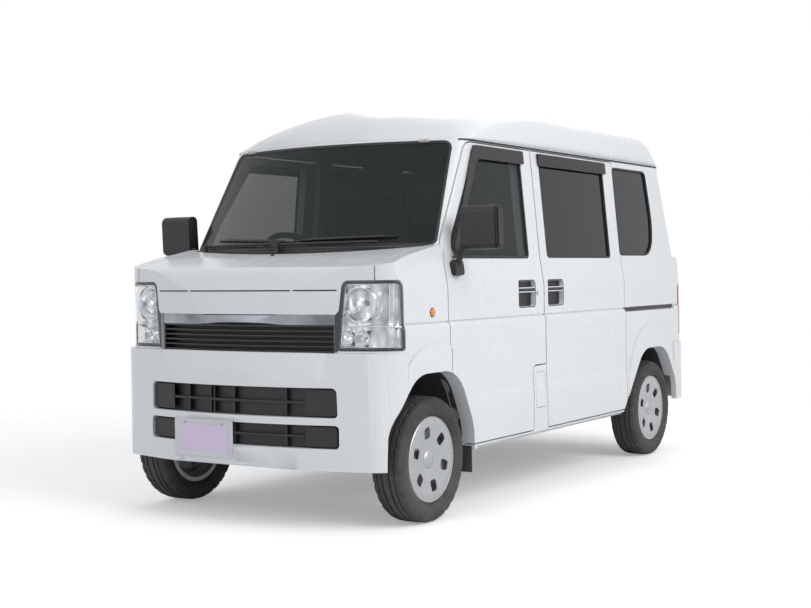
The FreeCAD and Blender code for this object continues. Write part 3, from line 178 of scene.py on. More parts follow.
def woven(name, colour, second):
    """Plain weave with a fine fleck."""
    tree, bsdf = shader(name, {"Roughness": 0.92, "Sheen Weight": 0.25})
    weave = add(tree, "ShaderNodeMath", operation="MULTIPLY")
    for socket, direction in zip(weave.inputs, "YZ"):
        wave = add(tree, "ShaderNodeTexWave", Scale=240.0, Distortion=1.0, bands_direction=direction)
        tree.links.new(place_on(tree), wave.inputs["Vector"])
        tree.links.new(wave.outputs["Fac"], socket)
    fleck = spread(tree, noise(tree, 420, 2.0), 0, 1)
    tree.links.new(tinted(tree, fleck, colour, second), bsdf.inputs["Base Color"])
    bumped(tree, bsdf, weave.outputs[0], 0.30, 0.0002)


WHITE, SILVERED = (0.72, 0.735, 0.75), (0.80, 0.82, 0.84)
finish("body_paint", WHITE, 0.26, vary=0.02, scale=3, grain=0.04, coat=0.15, dust=0.05, specular=0.25)
finish("bumper_plastic", WHITE, 0.30, vary=0.02, scale=3, grain=0.05, coat=0.12, dust=0.05, specular=0.25)
finish("underbody_paint", (0.045, 0.045, 0.047), 0.62, vary=0.3, scale=20, grain=0.35, dust=0.35)
finish("cast_metal", (0.20, 0.20, 0.205), 0.55, 0.75, vary=0.35, scale=30, grain=0.6, grain_scale=300)
finish("bare_steel", (0.36, 0.355, 0.34), 0.42, 0.9, vary=0.3, scale=24, grain=0.2, grain_scale=500)
finish("wheel_silver", (0.50, 0.51, 0.525), 0.32, 0.65, vary=0.10, scale=40, grain=0.12, dust=0.10)
# Painted reflections: the bright trim's colour swings in large blotches from full down to about a third. They stand in
# for the dark and bright reflections on the chrome.
finish("bright_trim", (0.46, 0.49, 0.54), 0.08, 1.0, vary=0.65, scale=3)
finish("tyre_rubber", (0.022, 0.022, 0.024), 0.72, vary=0.35, scale=22, grain=0.35, dust=0.22)
finish("flap_rubber", (0.018, 0.018, 0.019), 0.70, vary=0.3, scale=30, grain=0.3, dust=0.3)
finish("black_plastic", (0.009, 0.009, 0.011), 0.48, vary=0.25, scale=30, grain=0.30, grain_scale=1300)
finish("gloss_black", (0.010, 0.010, 0.012), 0.16, vary=0.2, scale=20, coat=0.5)
finish("dash_plastic", (0.085, 0.086, 0.092), 0.60, vary=0.15, scale=16, grain=0.45, grain_scale=1100)
finish("trim_panel", (0.24, 0.235, 0.225), 0.75, vary=0.10, scale=12, grain=0.35, grain_scale=1000)
woven("headliner", (0.46, 0.45, 0.43), (0.40, 0.39, 0.375))
woven("floor_mat", (0.05, 0.05, 0.052), (0.075, 0.075, 0.078))
woven("seat_cloth", (0.07, 0.07, 0.076), (0.10, 0.10, 0.108))
woven("seat_cloth_side", (0.075, 0.075, 0.08), (0.10, 0.10, 0.105))
pane("smoked_plastic", (0.006, 0.006, 0.008), 0.92, 0.14)
pane("clear_glass", (0.020, 0.028, 0.026), 0.46)
pane("privacy_glass", (0.008, 0.010, 0.012), 0.90)
pane("lamp_lens", (0.72, 0.76, 0.79), 0.13, 0.02)
ribbed_lens("tail_lens", (0.42, 0.012, 0.012), 0.72)
ribbed_lens("amber_lens", (0.80, 0.26, 0.03), 0.90)
ribbed_lens("clear_lens", (0.70, 0.72, 0.73), 0.45)
ribbed_lens("red_lens", (0.50, 0.015, 0.012), 0.92)
finish("reflector", SILVERED, 0.10, 1.0, vary=0.08, scale=40)
fluted("fluted_reflector", SILVERED)
finish("bulb", (0.80, 0.80, 0.76), 0.12, 0.1, vary=0.1, scale=60, coat=0.4)
finish("plate_rim", (0.60, 0.60, 0.64), 0.40, vary=0.05, scale=20, grain=0.08)
finish("plate", (0.66, 0.56, 0.74), 0.38, vary=0.04, scale=20, grain=0.08)
finish("mirror", (0.80, 0.83, 0.85), 0.03, 1.0, vary=0.02, scale=6)
finish("dial", (0.03, 0.03, 0.035), 0.3, vary=0.3, scale=60, coat=0.5)
finish("seal_rubber", (0.012, 0.012, 0.013), 0.55, vary=0.3, scale=40, grain=0.2)

SLOTS = {
    "body_paint": "roof bonnet grille_panel side_left side_right front_door_left front_door_right "
                  "sliding_door_left sliding_door_right tailgate tail_frame windscreen_header",
    "bumper_plastic": "front_bumper rear_bumper",
    "black_plastic": "bumper_grille grille cowl wipers door_trim_left door_trim_right",
    "bright_trim": "bright_bar",
    "lamp_lens": "headlamps",
    "tail_lens": "tail_lamps",
    "clear_glass": "windscreen front_door_glass_left front_door_glass_right",
    "privacy_glass": "side_glass tailgate_glass",
    "underbody_paint": "floor chassis_frame front_suspension fuel_tank",
    "bare_steel": "radiator exhaust",
    "cast_metal": "rear_axle drivetrain knuckle_left knuckle_right",
    "dash_plastic": "dashboard steering_wheel load_board",
    "smoked_plastic": "side_trim",
    "seat_cloth": "front_seats rear_seat",
    "flap_rubber": "mud_flaps",
    "tyre_rubber": "tyre_fl tyre_fr tyre_rl tyre_rr",
    "wheel_silver": "wheel_fl wheel_fr wheel_rl wheel_rr",
}
for material, names in SLOTS.items():
    for name in names.split():
        NODES[name].data.materials.clear()
        NODES[name].data.materials.append(MATERIALS[material])


# ---------------------------------------------------------------- mesh helpers
BOX_FACES = [[0, 1, 2, 3], [7, 6, 5, 4], [0, 4, 5, 1], [1, 5, 6, 2], [2, 6, 7, 3], [3, 7, 4, 0]]


def linked(name, data):
    obj = bpy.data.objects.new(name, data)
    bpy.context.scene.collection.objects.link(obj)
    return obj


def new_mesh(name, verts, faces):
    mesh = bpy.data.meshes.new(name)
    mesh.from_pydata([tuple(v) for v in verts], [], faces)
    return mesh


def reworked(mesh, job):
    """The mesh after a job that is done on it in a bmesh."""
    work = bmesh.new()
    work.from_mesh(mesh)
    job(work)
    work.to_mesh(mesh)
    work.free()
    return mesh


def outward(mesh):
    return reworked(mesh, lambda work: bmesh.ops.recalc_face_normals(work, faces=work.faces[:]))


def welded(mesh, distance):
    return reworked(mesh, lambda work: bmesh.ops.remove_doubles(work, verts=work.verts[:], dist=distance))


def smoothed(mesh, sharp):
    """Smooth shading, apart from edges sharper than that many degrees."""
    for face in mesh.polygons:
        face.use_smooth = True
    mesh.set_sharp_from_angle(angle=math.radians(sharp))


def placed(name, mesh, material, body, smooth=True, bevel=0.0):
    """The mesh as a piece that rides on a body."""
    obj = linked(name, mesh)
    mesh.materials.append(MATERIALS[material])
    outward(mesh)
    if smooth:
        smoothed(mesh, 40)
    if bevel:
        edge = obj.modifiers.new("edge", "BEVEL")
        edge.width, edge.segments, edge.limit_method, edge.angle_limit = bevel, 3, "ANGLE", math.radians(35)
    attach(obj, body)
    return obj


def made_mesh(name, verts, faces, material, body, smooth=True, bevel=0.0):
    mesh = new_mesh(name, verts, faces)
    mesh.validate()
    return placed(name, mesh, material, body, smooth, bevel)


def slab(name, face, shift, material, body, bevel):
    """Flat sheet between a face of four corners and the same face shifted."""
    near = [Vector(p) for p in face]
    return made_mesh(name, near + [p + shift for p in near], BOX_FACES, material, body, smooth=False, bevel=bevel)


def ring_faces(count, ring, loop=True, closed=True):
    """Faces between rings of points; loop joins the last ring to the first, closed joins the ends of each ring."""
    faces = []
    for i in range(count if loop else count - 1):
        j = (i + 1) % count
        for k in range(ring if closed else ring - 1):
            m = (k + 1) % ring
            faces.append([i * ring + k, i * ring + m, j * ring + m, j * ring + k])
    return faces


def rounded(points, per=5):
    """Points of an outline whose corners (a, b, radius) are rounded; millimetres in, metres out."""
    spots = [Vector((p[0], p[1])) / 1000 for p in points]
    out = []
    for i, p in enumerate(points):
        radius = (p[2] if len(p) > 2 else 0) / 1000
        here = spots[i]
        if radius == 0:
            out.append(here)
            continue
        a = (spots[i - 1] - here).normalized()
        b = (spots[(i + 1) % len(spots)] - here).normalized()
        half = a.angle(b) / 2
        cut = radius / math.tan(half)
        centre = here + (a + b).normalized() * (radius / math.sin(half))
        start, end = here + a * cut, here + b * cut
        first = (start - centre).angle_signed(end - centre)
        for k in range(per + 1):
            turn = Matrix.Rotation(-first * k / per, 2)
            out.append(centre + turn @ (start - centre))
    return out


def resampled(points, step, closed=True):
    """The same line with points about a step apart, its corners kept."""
    out = []
    count = len(points)
    for i in range(count if closed else count - 1):
        a, b = points[i], points[(i + 1) % count]
        parts = max(1, round((b - a).length / step))
        out += [a.lerp(b, k / parts) for k in range(parts)]
    return out if closed else out + [points[-1]]


def skin(*nodes):
    verts, faces = [], []
    for node in nodes:
        obj = NODES[node]
        base = len(verts)
        verts += [obj.matrix_world @ v.co for v in obj.data.vertices]
        faces += [[base + i for i in face.vertices] for face in obj.data.polygons]
    return BVHTree.FromPolygons(verts, faces)


RAYS = {
    "left": (lambda a, b: Vector((a, 2, b)), Vector((0, -1, 0))),
    "right": (lambda a, b: Vector((a, -2, b)), Vector((0, 1, 0))),
    "front": (lambda a, b: Vector((3, a, b)), Vector((-1, 0, 0))),
    "rear": (lambda a, b: Vector((-3, a, b)), Vector((1, 0, 0))),
    "top": (lambda a, b: Vector((a, b, 3)), Vector((0, 0, -1))),
}


def on_skin(tree, plane, a, b):
    """Point and outward normal where the surface is met, looking straight at that side."""
    start, ahead = RAYS[plane]
    spot, normal, _, _ = tree.ray_cast(start(a, b), ahead)
    if spot is None:
        near, normal, _, _ = tree.find_nearest(start(a, b) + ahead * 1.3)
        spot = near
    if normal.dot(ahead) > 0:
        normal = -normal
    return spot, normal


def sweep(name, path, normals, section, material, body, closed=True, smooth=True):
    """A bar whose cross-section (across, outward) follows a path on the skin."""
    count, ring = len(path), len(section)
    verts = []
    for i, here in enumerate(path):
        before = path[i - 1] if closed or i else path[0]
        after = path[(i + 1) % count] if closed or i < count - 1 else path[-1]
        ahead = (after - before).normalized()
        out = normals[i].normalized()
        across = ahead.cross(out).normalized()
        out = across.cross(ahead).normalized()
        verts += [here + across * s + out * n for s, n in section]
    faces = ring_faces(count, ring, loop=closed)
    if not closed:
        faces += [list(range(ring))[::-1], [(count - 1) * ring + k for k in range(ring)]]
    return made_mesh(name, verts, faces, material, body, smooth)


def bead(half, low, high, ease=0.3):
    """Cross-section of a seal or strip: a flat foot with rounded shoulders."""
    drop = (high - low) * ease
    return [(-half, low), (half, low), (half, high - drop), (half * 0.8, high - drop * 0.25), (half * 0.4, high),
            (-half * 0.4, high), (-half * 0.8, high - drop * 0.25), (-half, high - drop)]


def seal(name, outline, plane, tree, body, half=0.006, low=-0.008, high=0.0015, shift=0.003, material="seal_rubber",
         step=0.02):
    """Rubber round a window, following the surface just outside its opening."""
    flat = resampled(rounded(outline), step)
    flat = [p for i, p in enumerate(flat) if (p - flat[i - 1]).length > 1e-5]
    centre = sum(flat, Vector((0, 0))) / len(flat)
    path, normals = [], []
    for i, p in enumerate(flat):
        along = (flat[(i + 1) % len(flat)] - flat[i - 1]).normalized()
        away = Vector((along.y, -along.x))
        away = away if away.dot(p - centre) > 0 else -away
        probe = p + away * shift
        spot, normal = on_skin(tree, plane, probe.x, probe.y)
        path.append(spot)
        normals.append(normal)
    return sweep(name, path, normals, bead(half, low, high), material, body)


def strip(name, points, plane, tree, body, section, material, step=0.03):
    """Moulding along an open line on the skin; points in millimetres."""
    flat = resampled([Vector(p) / 1000 for p in points], step, closed=False)
    path, normals = zip(*[on_skin(tree, plane, p.x, p.y) for p in flat])
    return sweep(name, list(path), list(normals), section, material, body, closed=False)


def patch(name, outline, plane, tree, body, material, lift=0.0, thick=0.002, step=0.02, bevel=0.0):
    """Sheet with that outline, laid on the surface it faces; it thickens outwards, or inwards below 0."""
    flat = rounded(outline)
    ahead = RAYS[plane][1]

    def laid(work):
        work.faces.new([work.verts.new((p.x, p.y, 0)) for p in flat])
        for axis, normal in enumerate(((1, 0, 0), (0, 1, 0))):
            low, high = min(p[axis] for p in flat), max(p[axis] for p in flat)
            value = low + step
            while value < high - step * 0.3:
                at = [value if k == axis else 0 for k in range(3)]
                bmesh.ops.bisect_plane(work, geom=work.verts[:] + work.edges[:] + work.faces[:], plane_co=at,
                                       plane_no=normal)
                value += step
        for vert in work.verts:
            spot, _ = on_skin(tree, plane, vert.co.x, vert.co.y)
            vert.co = spot - ahead * lift
        for item in bmesh.ops.extrude_face_region(work, geom=work.faces[:])["geom"]:
            if isinstance(item, bmesh.types.BMVert):
                item.co = item.co - ahead * thick

    return placed(name, reworked(bpy.data.meshes.new(name), laid), material, body, bevel=bevel)


def lathe(name, profile, centre, axis, material, body, count=48, closed=True, smooth=True):
    """Turned piece; profile is (radius, along the axis) in metres."""
    axis = Vector(axis).normalized()
    out = axis.orthogonal().normalized()
    side = axis.cross(out)
    centre = Vector(centre)
    verts = []
    for i in range(count):
        turn = 2 * math.pi * i / count
        ray = out * math.cos(turn) + side * math.sin(turn)
        verts += [centre + ray * r + axis * a for r, a in profile]
    return made_mesh(name, verts, ring_faces(count, len(profile), closed=closed), material, body, smooth)


def block(name, low, high, material, body, bevel=0.003, turn=None):
    """Moulded piece with softened edges between two corners."""
    low, high = Vector(low), Vector(high)
    place = Matrix.Translation((low + high) / 2) @ (turn.to_4x4() if turn else Matrix())

    def moulded(work):
        bmesh.ops.create_cube(work, size=1)
        for vert in work.verts:
            vert.co = vert.co * (high - low)
        bmesh.ops.bevel(work, geom=work.edges[:], offset=bevel, segments=3, profile=0.6, affect="EDGES")
        bmesh.ops.transform(work, matrix=place, verts=work.verts[:])

    return placed(name, reworked(bpy.data.meshes.new(name), moulded), material, body)


def tube(name, points, radius, material, body):
    """Round bar through a few points, its bends eased."""
    curve = bpy.data.curves.new(name, "CURVE")
    curve.dimensions = "3D"
    curve.bevel_depth, curve.bevel_resolution, curve.use_fill_caps = radius, 2, True
    line = curve.splines.new("BEZIER")
    line.bezier_points.add(len(points) - 1)
    for spot, point in zip(line.bezier_points, points):
        spot.co = point
        spot.handle_left_type = spot.handle_right_type = "AUTO"
    curve.materials.append(MATERIALS[material])
    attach(linked(name, curve), body)


# ---------------------------------------------------------------- tyres and wheels
TYRE_RADIUS, TREAD_STEPS = 0.266, 150
GROOVE = 1.0  # in the tyre's profile, a point on the floor of a groove
GROOVE_DEPTH, BLOCK_GAP = 0.0075, 0.0055


def tyre_mesh():
    """Road tyre with four ribbed grooves, shoulder blocks and sidewall rings; profile points are (across, rise)."""
    crown = [(0.0, 0.0), (0.012, 0.0), (0.0145, GROOVE), (0.0205, GROOVE), (0.023, 0.0), (0.036, -0.0006),
             (0.0385, GROOVE), (0.045, GROOVE), (0.0475, -0.0012), (0.060, -0.0045), (0.067, -0.0085)]
    wall = [(0.0755, -0.024), (0.0775, -0.045), (0.0775, -0.052), (0.0745, -0.056), (0.0735, -0.066), (0.0660, -0.079),
            (0.058, -0.0830), (0.054, -0.0865), (0.054, -0.094)]
    bore = [(0.049, -0.1005), (0.036, -0.1007)]
    half = crown + wall + bore
    profile = half + [(-y, rise) for y, rise in reversed(half[1:])]
    verts = []
    for i in range(TREAD_STEPS):
        turn = 2 * math.pi * i / TREAD_STEPS
        for y, rise in profile:
            shoulder = 0.046 < abs(y) < 0.0765 and rise > -0.03
            middle = 0.023 < abs(y) < 0.037
            if rise == GROOVE:
                rise = -GROOVE_DEPTH
            elif (shoulder and i % 5 == 0) or (middle and i % 5 == 2):
                rise -= BLOCK_GAP
            verts.append((math.sin(turn) * (TYRE_RADIUS + rise), y, math.cos(turn) * (TYRE_RADIUS + rise)))
    return verts, ring_faces(TREAD_STEPS, len(profile))


COVER_PARTS = (  # name, place outwards on the axle, steps round, closed or not, profile
    ("ring", 0.062, 64, True, [(0.1735, -0.002), (0.1795, -0.002), (0.1803, 0.001), (0.178, 0.0028), (0.174, 0.0015)]),
    ("cap", 0.0565, 40, False, [(0.0, -0.004), (0.0275, -0.004), (0.0285, -0.0015), (0.025, 0.0006), (0.012, 0.0012),
                                (0.0, 0.0013)]),
    ("step", 0.0515, 48, True, [(0.060, -0.003), (0.066, -0.003), (0.0672, 0.0), (0.0655, 0.0012), (0.061, 0.0)]),
)
NUT = [(0.0, 0.006), (0.0085, 0.006), (0.0095, 0.004), (0.0095, -0.010)]
VALVE_ANGLE, VALVE_R, NUT_ANGLE, NUT_R = math.radians(42), 0.160, 0.6, 0.050
TYRE_VERTS, TYRE_FACES = tyre_mesh()
for corner, (x, sign) in {"fl": (X_FRONT, 1), "fr": (X_FRONT, -1), "rl": (X_REAR, 1), "rr": (X_REAR, -1)}.items():
    body = "wheel_" + corner
    centre, out = Vector((x, sign * Y_WHEEL, Z_HUB)), Vector((0, sign, 0))
    tread = made_mesh("tread_" + corner, [Vector(v) + centre for v in TYRE_VERTS], TYRE_FACES, "tyre_rubber", body)
    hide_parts("tyre_" + corner)
    for part, place, steps, closed, profile in COVER_PARTS:
        lathe(f"cover_{part}_{corner}", profile, centre + out * place, out, "wheel_silver", body, steps, closed)
    stem = centre + Vector((math.cos(VALVE_ANGLE), 0, math.sin(VALVE_ANGLE))) * VALVE_R
    tube("valve_" + corner, [stem + out * 0.036, stem + out * 0.056], 0.0042, "black_plastic", body)
    for k in range(4):
        turn = math.pi * k / 2 + NUT_ANGLE
        nut = centre + Vector((math.cos(turn), 0, math.sin(turn))) * NUT_R
        lathe(f"nut_{corner}_{k}", NUT, nut + out * 0.022, out, "bare_steel", body, 6, closed=False, smooth=False)


# ---------------------------------------------------------------- windows and seals
side_skin = {side: skin(f"side_{side}", f"front_door_{side}", f"sliding_door_{side}") for side in SIDES}
FRONT_WINDOW = [(332, 1122, 12), (1059.5, 1122, 45), (1029.5, 1212, 120), (755.5, 1600, 55), (332, 1600, 12)]
SLIDE_WINDOW = [(-618, 1122, 14), (-618, 1600, 14), (125, 1600, 14), (125, 1122, 14)]
QUARTER = [(-765, 1136, 14), (-1215, 1136, 130), (-1247, 1330, 400), (-1212, 1600, 32), (-765, 1600, 14)]
for side, sign in SIDES.items():
    tree = side_skin[side]
    seal("front_window_seal_" + side, FRONT_WINDOW, side, tree, "front_door_" + side)
    seal("sliding_window_seal_" + side, SLIDE_WINDOW, side, tree, "body")
    seal("quarter_window_seal_" + side, QUARTER, side, tree, "body")
    strip("drip_seam_" + side, [(x, 1643) for x in range(-1490, 881, 60)], side, tree, "body",
          bead(0.0045, -0.004, 0.0045), "seal_rubber")
    strip("belt_strip_" + side, [(345, 1117), (700, 1117), (1045, 1117)], side, tree, "front_door_" + side,
          bead(0.006, -0.003, 0.003), "seal_rubber")
screen_skin = skin("windscreen", "windscreen_header", "side_left", "side_right", "cowl")
SCREEN = [(664, 1166, 24), (604, 1640, 45), (-604, 1640, 45), (-664, 1166, 24)]
seal("windscreen_seal", SCREEN, "front", screen_skin, "body", half=0.009, low=-0.010, high=0.003, shift=-0.006)
gate_skin = skin("tailgate", "tailgate_glass")
TAIL_WINDOW = [(540, 1150, 70), (508, 1560, 60), (-508, 1560, 60), (-540, 1150, 70)]
seal("tail_window_seal", TAIL_WINDOW, "rear", gate_skin, "tailgate", half=0.008, low=-0.008, high=0.002, shift=0.003)

# ---------------------------------------------------------------- lamps
CORNER_VIEW, LAMP_FOOT, LAMP_TOP = math.radians(40), 742, 1018


def corner_axes(sign):
    """The way ahead and the way across of a look at a front corner from ahead and outside."""
    return (Vector((-math.cos(CORNER_VIEW), -sign * math.sin(CORNER_VIEW), 0)),
            Vector((-math.sin(CORNER_VIEW), sign * math.cos(CORNER_VIEW), 0)))


def corner_rays(sign):
    ahead, across = corner_axes(sign)
    return lambda a, b: across * a + Vector((0, 0, b)) - ahead * 3, ahead


def lamp_ends(sign):
    """Inner and outer end of the lamp's lower and upper edge in the corner view, in millimetres."""
    across = corner_axes(sign)[1]
    spots = [v.co for v in NODES["headlamps"].data.vertices if v.co.y * sign > 0]
    low = [across.dot(p) * 1000 for p in spots if p.z < 0.80]
    high = [across.dot(p) * 1000 for p in spots if p.z > 0.98]
    return min(low), max(low), min(high), max(high)


def turned(name, side, profile, spot, back, material, count, closed=True):
    """Round part of a headlamp, behind a spot on its glass; it looks ahead and a little outwards."""
    ahead = Vector((1, SIDES[side] * 0.12, 0)).normalized()
    lathe(f"{name}_{side}", profile, spot - Vector((back, 0, 0)), ahead, material, "body", count, closed)


for side, sign in SIDES.items():
    RAYS["corner_" + side] = corner_rays(sign)
lamp_skin = skin("headlamps")
BOWL = [(0.014, -0.058), (0.035, -0.050), (0.052, -0.036), (0.064, -0.016), (0.069, 0.0), (0.072, 0.0),
        (0.067, -0.018), (0.054, -0.040), (0.036, -0.054), (0.014, -0.062)]
BULB = [(0.0, 0.016), (0.008, 0.013), (0.0105, 0.004), (0.0105, -0.018), (0.014, -0.020), (0.014, -0.03)]
CAP = [(0.0, 0.0035), (0.012, 0.0035), (0.0175, -0.001), (0.0175, -0.006), (0.012, -0.004), (0.0, -0.004)]
TURN_BULB = [(0.0, 0.012), (0.007, 0.009), (0.009, 0.0), (0.009, -0.014)]
MARKER = [(0.0, 0.0085), (0.008, 0.008), (0.014, 0.006), (0.0175, 0.0025), (0.0175, -0.001), (0.0, -0.001)]
MARKER_RING = [(0.0176, -0.001), (0.0176, 0.0028), (0.0195, 0.002), (0.0205, 0.0), (0.0205, -0.001)]
for side, sign in SIDES.items():
    plane = "corner_" + side
    low_in, low_out, high_in, high_out = lamp_ends(sign)

    def ends_at(z):
        """Inner and outer end of the lamp at that height."""
        share = (z - LAMP_FOOT) / (LAMP_TOP - LAMP_FOOT)
        return low_in + (high_in - low_in) * share, low_out + (high_out - low_out) * share

    edge = [(low_in + 6, LAMP_FOOT, 10), (low_out - 6, LAMP_FOOT, 10), (high_out - 8, LAMP_TOP, 24),
            (high_in + 6, LAMP_TOP, 26)]
    inner = [(low_in + 16, LAMP_FOOT + 10, 8), (low_out - 18, LAMP_FOOT + 10, 8), (high_out - 20, LAMP_TOP - 10, 18),
             (high_in + 16, LAMP_TOP - 10, 20)]
    patch("lamp_back_" + side, inner, plane, lamp_skin, "body", "fluted_reflector", lift=-0.050, thick=0.003,
          step=0.03)
    seal("lamp_bezel_" + side, edge, plane, lamp_skin, "body", half=0.0060, low=-0.007, high=0.0008, shift=-0.002,
         material="gloss_black")
    seal("lamp_wall_" + side, edge, plane, lamp_skin, "body", half=0.0015, low=-0.052, high=-0.008, shift=-0.010,
         material="reflector")
    shell_skin = skin("headlamps", "side_" + side, "grille_panel")
    trim = [(sign * y, z, r) for y, z, r in ((468, 731, 2), (478, 731, 2), (508, 1000, 8), (500, 1012, 6),
                                             (486, 900, 10), (468, 882, 4))]
    patch("lamp_trim_" + side, trim, "front", shell_skin, "body", "gloss_black", lift=0.0006, thick=-0.003, step=0.03)
    start, end = ends_at(836)
    strip("lamp_shelf_" + side, [(start + 12, 836), ((start + end) / 2, 838), (end - 14, 836)], plane, lamp_skin,
          "body", bead(0.003, -0.046, -0.004), "reflector")
    post = [(ends_at(z)[1] - inset, z) for z, inset in ((846, 66), (920, 62), (1004, 58))]
    strip("lamp_post_" + side, post, plane, lamp_skin, "body", bead(0.004, -0.046, -0.006), "reflector")
    beam, _ = on_skin(lamp_skin, "front", sign * 0.565, 0.925)
    turned("lamp_bowl", side, BOWL, beam, 0.014, "reflector", 48)
    turned("lamp_bulb", side, BULB, beam, 0.034, "bulb", 20, closed=False)
    turned("lamp_cap", side, CAP, beam, 0.016, "reflector", 24)
    signal, _ = on_skin(lamp_skin, "front", sign * 0.575, 0.787)
    turned("turn_bowl", side, [(r * 0.48, a * 0.6) for r, a in BOWL], signal, 0.010, "reflector", 32)
    turned("turn_bulb", side, TURN_BULB, signal, 0.022, "bulb", 16, closed=False)
    parking, _ = on_skin(lamp_skin, "front", sign * 0.512, 0.787)
    turned("side_bowl", side, [(r * 0.42, a * 0.55) for r, a in BOWL], parking, 0.010, "reflector", 32)
    spot, normal = on_skin(side_skin[side], side, 1.254, 0.884)
    lathe("side_marker_" + side, MARKER, spot, normal, "amber_lens", "body", 32)
    lathe("marker_ring_" + side, MARKER_RING, spot, normal, "seal_rubber", "body", 32)

tail_skin = skin("tail_lamps")
for side, sign in SIDES.items():
    for name, low, high, material in (("stop", 822, 950, "red_lens"), ("turn", 752, 816, "amber_lens"),
                                      ("reverse", 680, 746, "clear_lens")):
        outline = [(sign * 648, low, 8), (sign * 694, low, 8), (sign * 692, high, 10), (sign * 650, high, 10)]
        patch(f"tail_{name}_{side}", outline[::sign], "rear", tail_skin, "body", material, lift=0.0012, thick=-0.0030,
              step=0.012)

# ---------------------------------------------------------------- handles, mirrors, plates, wipers
QUARTERS = ((1, 1), (-1, 1), (-1, -1), (1, -1))
MIRROR_FACE = ((1.0135, 0.782, 1.176), (1.0135, 0.916, 1.176), (1.0215, 0.916, 1.309), (1.0215, 0.782, 1.309))
for side, sign in SIDES.items():
    door = "front_door_" + side
    for name, x, body in (("front", 388, door), ("sliding", 83, "body")):
        door_skin = skin(f"{name}_door_{side}")
        cup = [(x - 81, 886, 13), (x + 81, 886, 13), (x + 81, 1004, 13), (x - 81, 1004, 13)]
        patch(f"{name}_handle_{side}", cup, side, door_skin, body, "black_plastic", lift=0.0010, thick=-0.0015,
              step=0.007)
        seal(f"{name}_handle_rim_{side}", cup, side, door_skin, body, half=0.0025, low=-0.004, high=0.0010,
             shift=0.004, material="black_plastic")
    lock, normal = on_skin(side_skin[side], side, 0.285, 0.945)
    lathe("door_lock_" + side, [(0.0, 0.0016), (0.0095, 0.0016), (0.0115, 0.0), (0.0115, -0.002), (0.0, -0.002)], lock,
          normal, "bright_trim", door, 24)
    slab("mirror_glass_" + side, [(x, sign * y, z) for x, y, z in MIRROR_FACE], Vector((0.003, 0, 0)), "mirror", door,
         0.002)
slot_skin = skin("bumper_grille")
for side, sign in SIDES.items():
    for name, low, high in (("upper", 474, 580), ("lower", 348, 428)):
        outline = [(sign * 352, low, 4), (sign * 490, low, 12), (sign * 488, high, 14), (sign * 352, high, 4)]
        patch(f"slot_blank_{name}_{side}", outline, "front", slot_skin, "body", "black_plastic", lift=0.026,
              thick=-0.003, step=0.03)

PLATE_HALF_W, PLATE_HALF_H, PLATE_CORNER = 0.165, 0.0825, 0.010
PLATE_RINGS = ((0.0, 0.0006), (0.0035, 0.0022), (0.009, 0.0022), (0.012, 0.0010))  # inset, rise
PLATE_PLACE, PLATE_OUT = Vector((1.6815, -0.170, 0.3560)), Vector((1, -0.030, 0)).normalized()
RECESS_HALF_W, RECESS_HALF_H, RECESS_REACH = 0.178, 0.092, 0.04


def plate(name, centre, out, body):
    """Blank number plate with a pressed rim, a plain tinted field and two bolts."""
    across = Vector((0, 0, 1)).cross(out).normalized()
    up = out.cross(across).normalized()
    verts = []
    for inset, rise in PLATE_RINGS:
        corner, w, h = max(0.0015, PLATE_CORNER - inset), PLATE_HALF_W - inset, PLATE_HALF_H - inset
        for quarter, (sx, sy) in enumerate(QUARTERS):
            for k in range(5):
                turn = math.radians(90 * quarter + 22.5 * k)
                verts.append(centre + across * (sx * (w - corner) + corner * math.cos(turn))
                             + up * (sy * (h - corner) + corner * math.sin(turn)) + out * rise)
    count = 5 * len(QUARTERS)
    faces = ring_faces(len(PLATE_RINGS), count, loop=False)
    faces += [[len(verts) - count + k for k in range(count)], list(range(count))[::-1]]
    made_mesh(name, verts, faces, "plate_rim", body)
    field = [centre + across * (sx * 0.136) + up * (sy * 0.056 + 0.004) + out * 0.0012 for sx, sy in QUARTERS]
    slab(name + "_field", field, out * 0.0007, "plate", body, 0.0003)
    for label, sign in (("a", 1), ("b", -1)):
        lathe(f"{name}_bolt_{label}", [(0.0, 0.0040), (0.0035, 0.0038), (0.0062, 0.0020), (0.0062, 0.0)],
              centre + across * sign * 0.105 + up * 0.066, out, "bare_steel", body, 12, closed=False)


def recessed_bumper(centre, out):
    """The bumper cover with the shallow flat recess that the number plate sits in."""
    mesh = NODES["front_bumper"].data.copy()
    mesh.name = "bumper_cover"
    cover = linked("bumper_cover", welded(mesh, 1e-5))
    across = Vector((0, 0, 1)).cross(out).normalized()
    corners = [centre + across * (sx * RECESS_HALF_W) + Vector((0, 0, sz * RECESS_HALF_H)) + out * depth
               for depth in (0, RECESS_REACH) for sx, sz in QUARTERS]
    cutter = linked("plate_recess", outward(new_mesh("plate_recess", corners, BOX_FACES)))
    cut = cover.modifiers.new("recess", "BOOLEAN")
    cut.object, cut.solver, cut.operation = cutter, "EXACT", "DIFFERENCE"
    made = bpy.data.meshes.new_from_object(cover.evaluated_get(bpy.context.evaluated_depsgraph_get()))
    cover.modifiers.clear()
    cover.data = made
    bpy.data.objects.remove(cutter)
    made.materials.clear()
    made.materials.append(MATERIALS["bumper_plastic"])
    for face in made.polygons:
        face.material_index = 0
    smoothed(made, 30)
    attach(cover, "body")
    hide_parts("front_bumper")


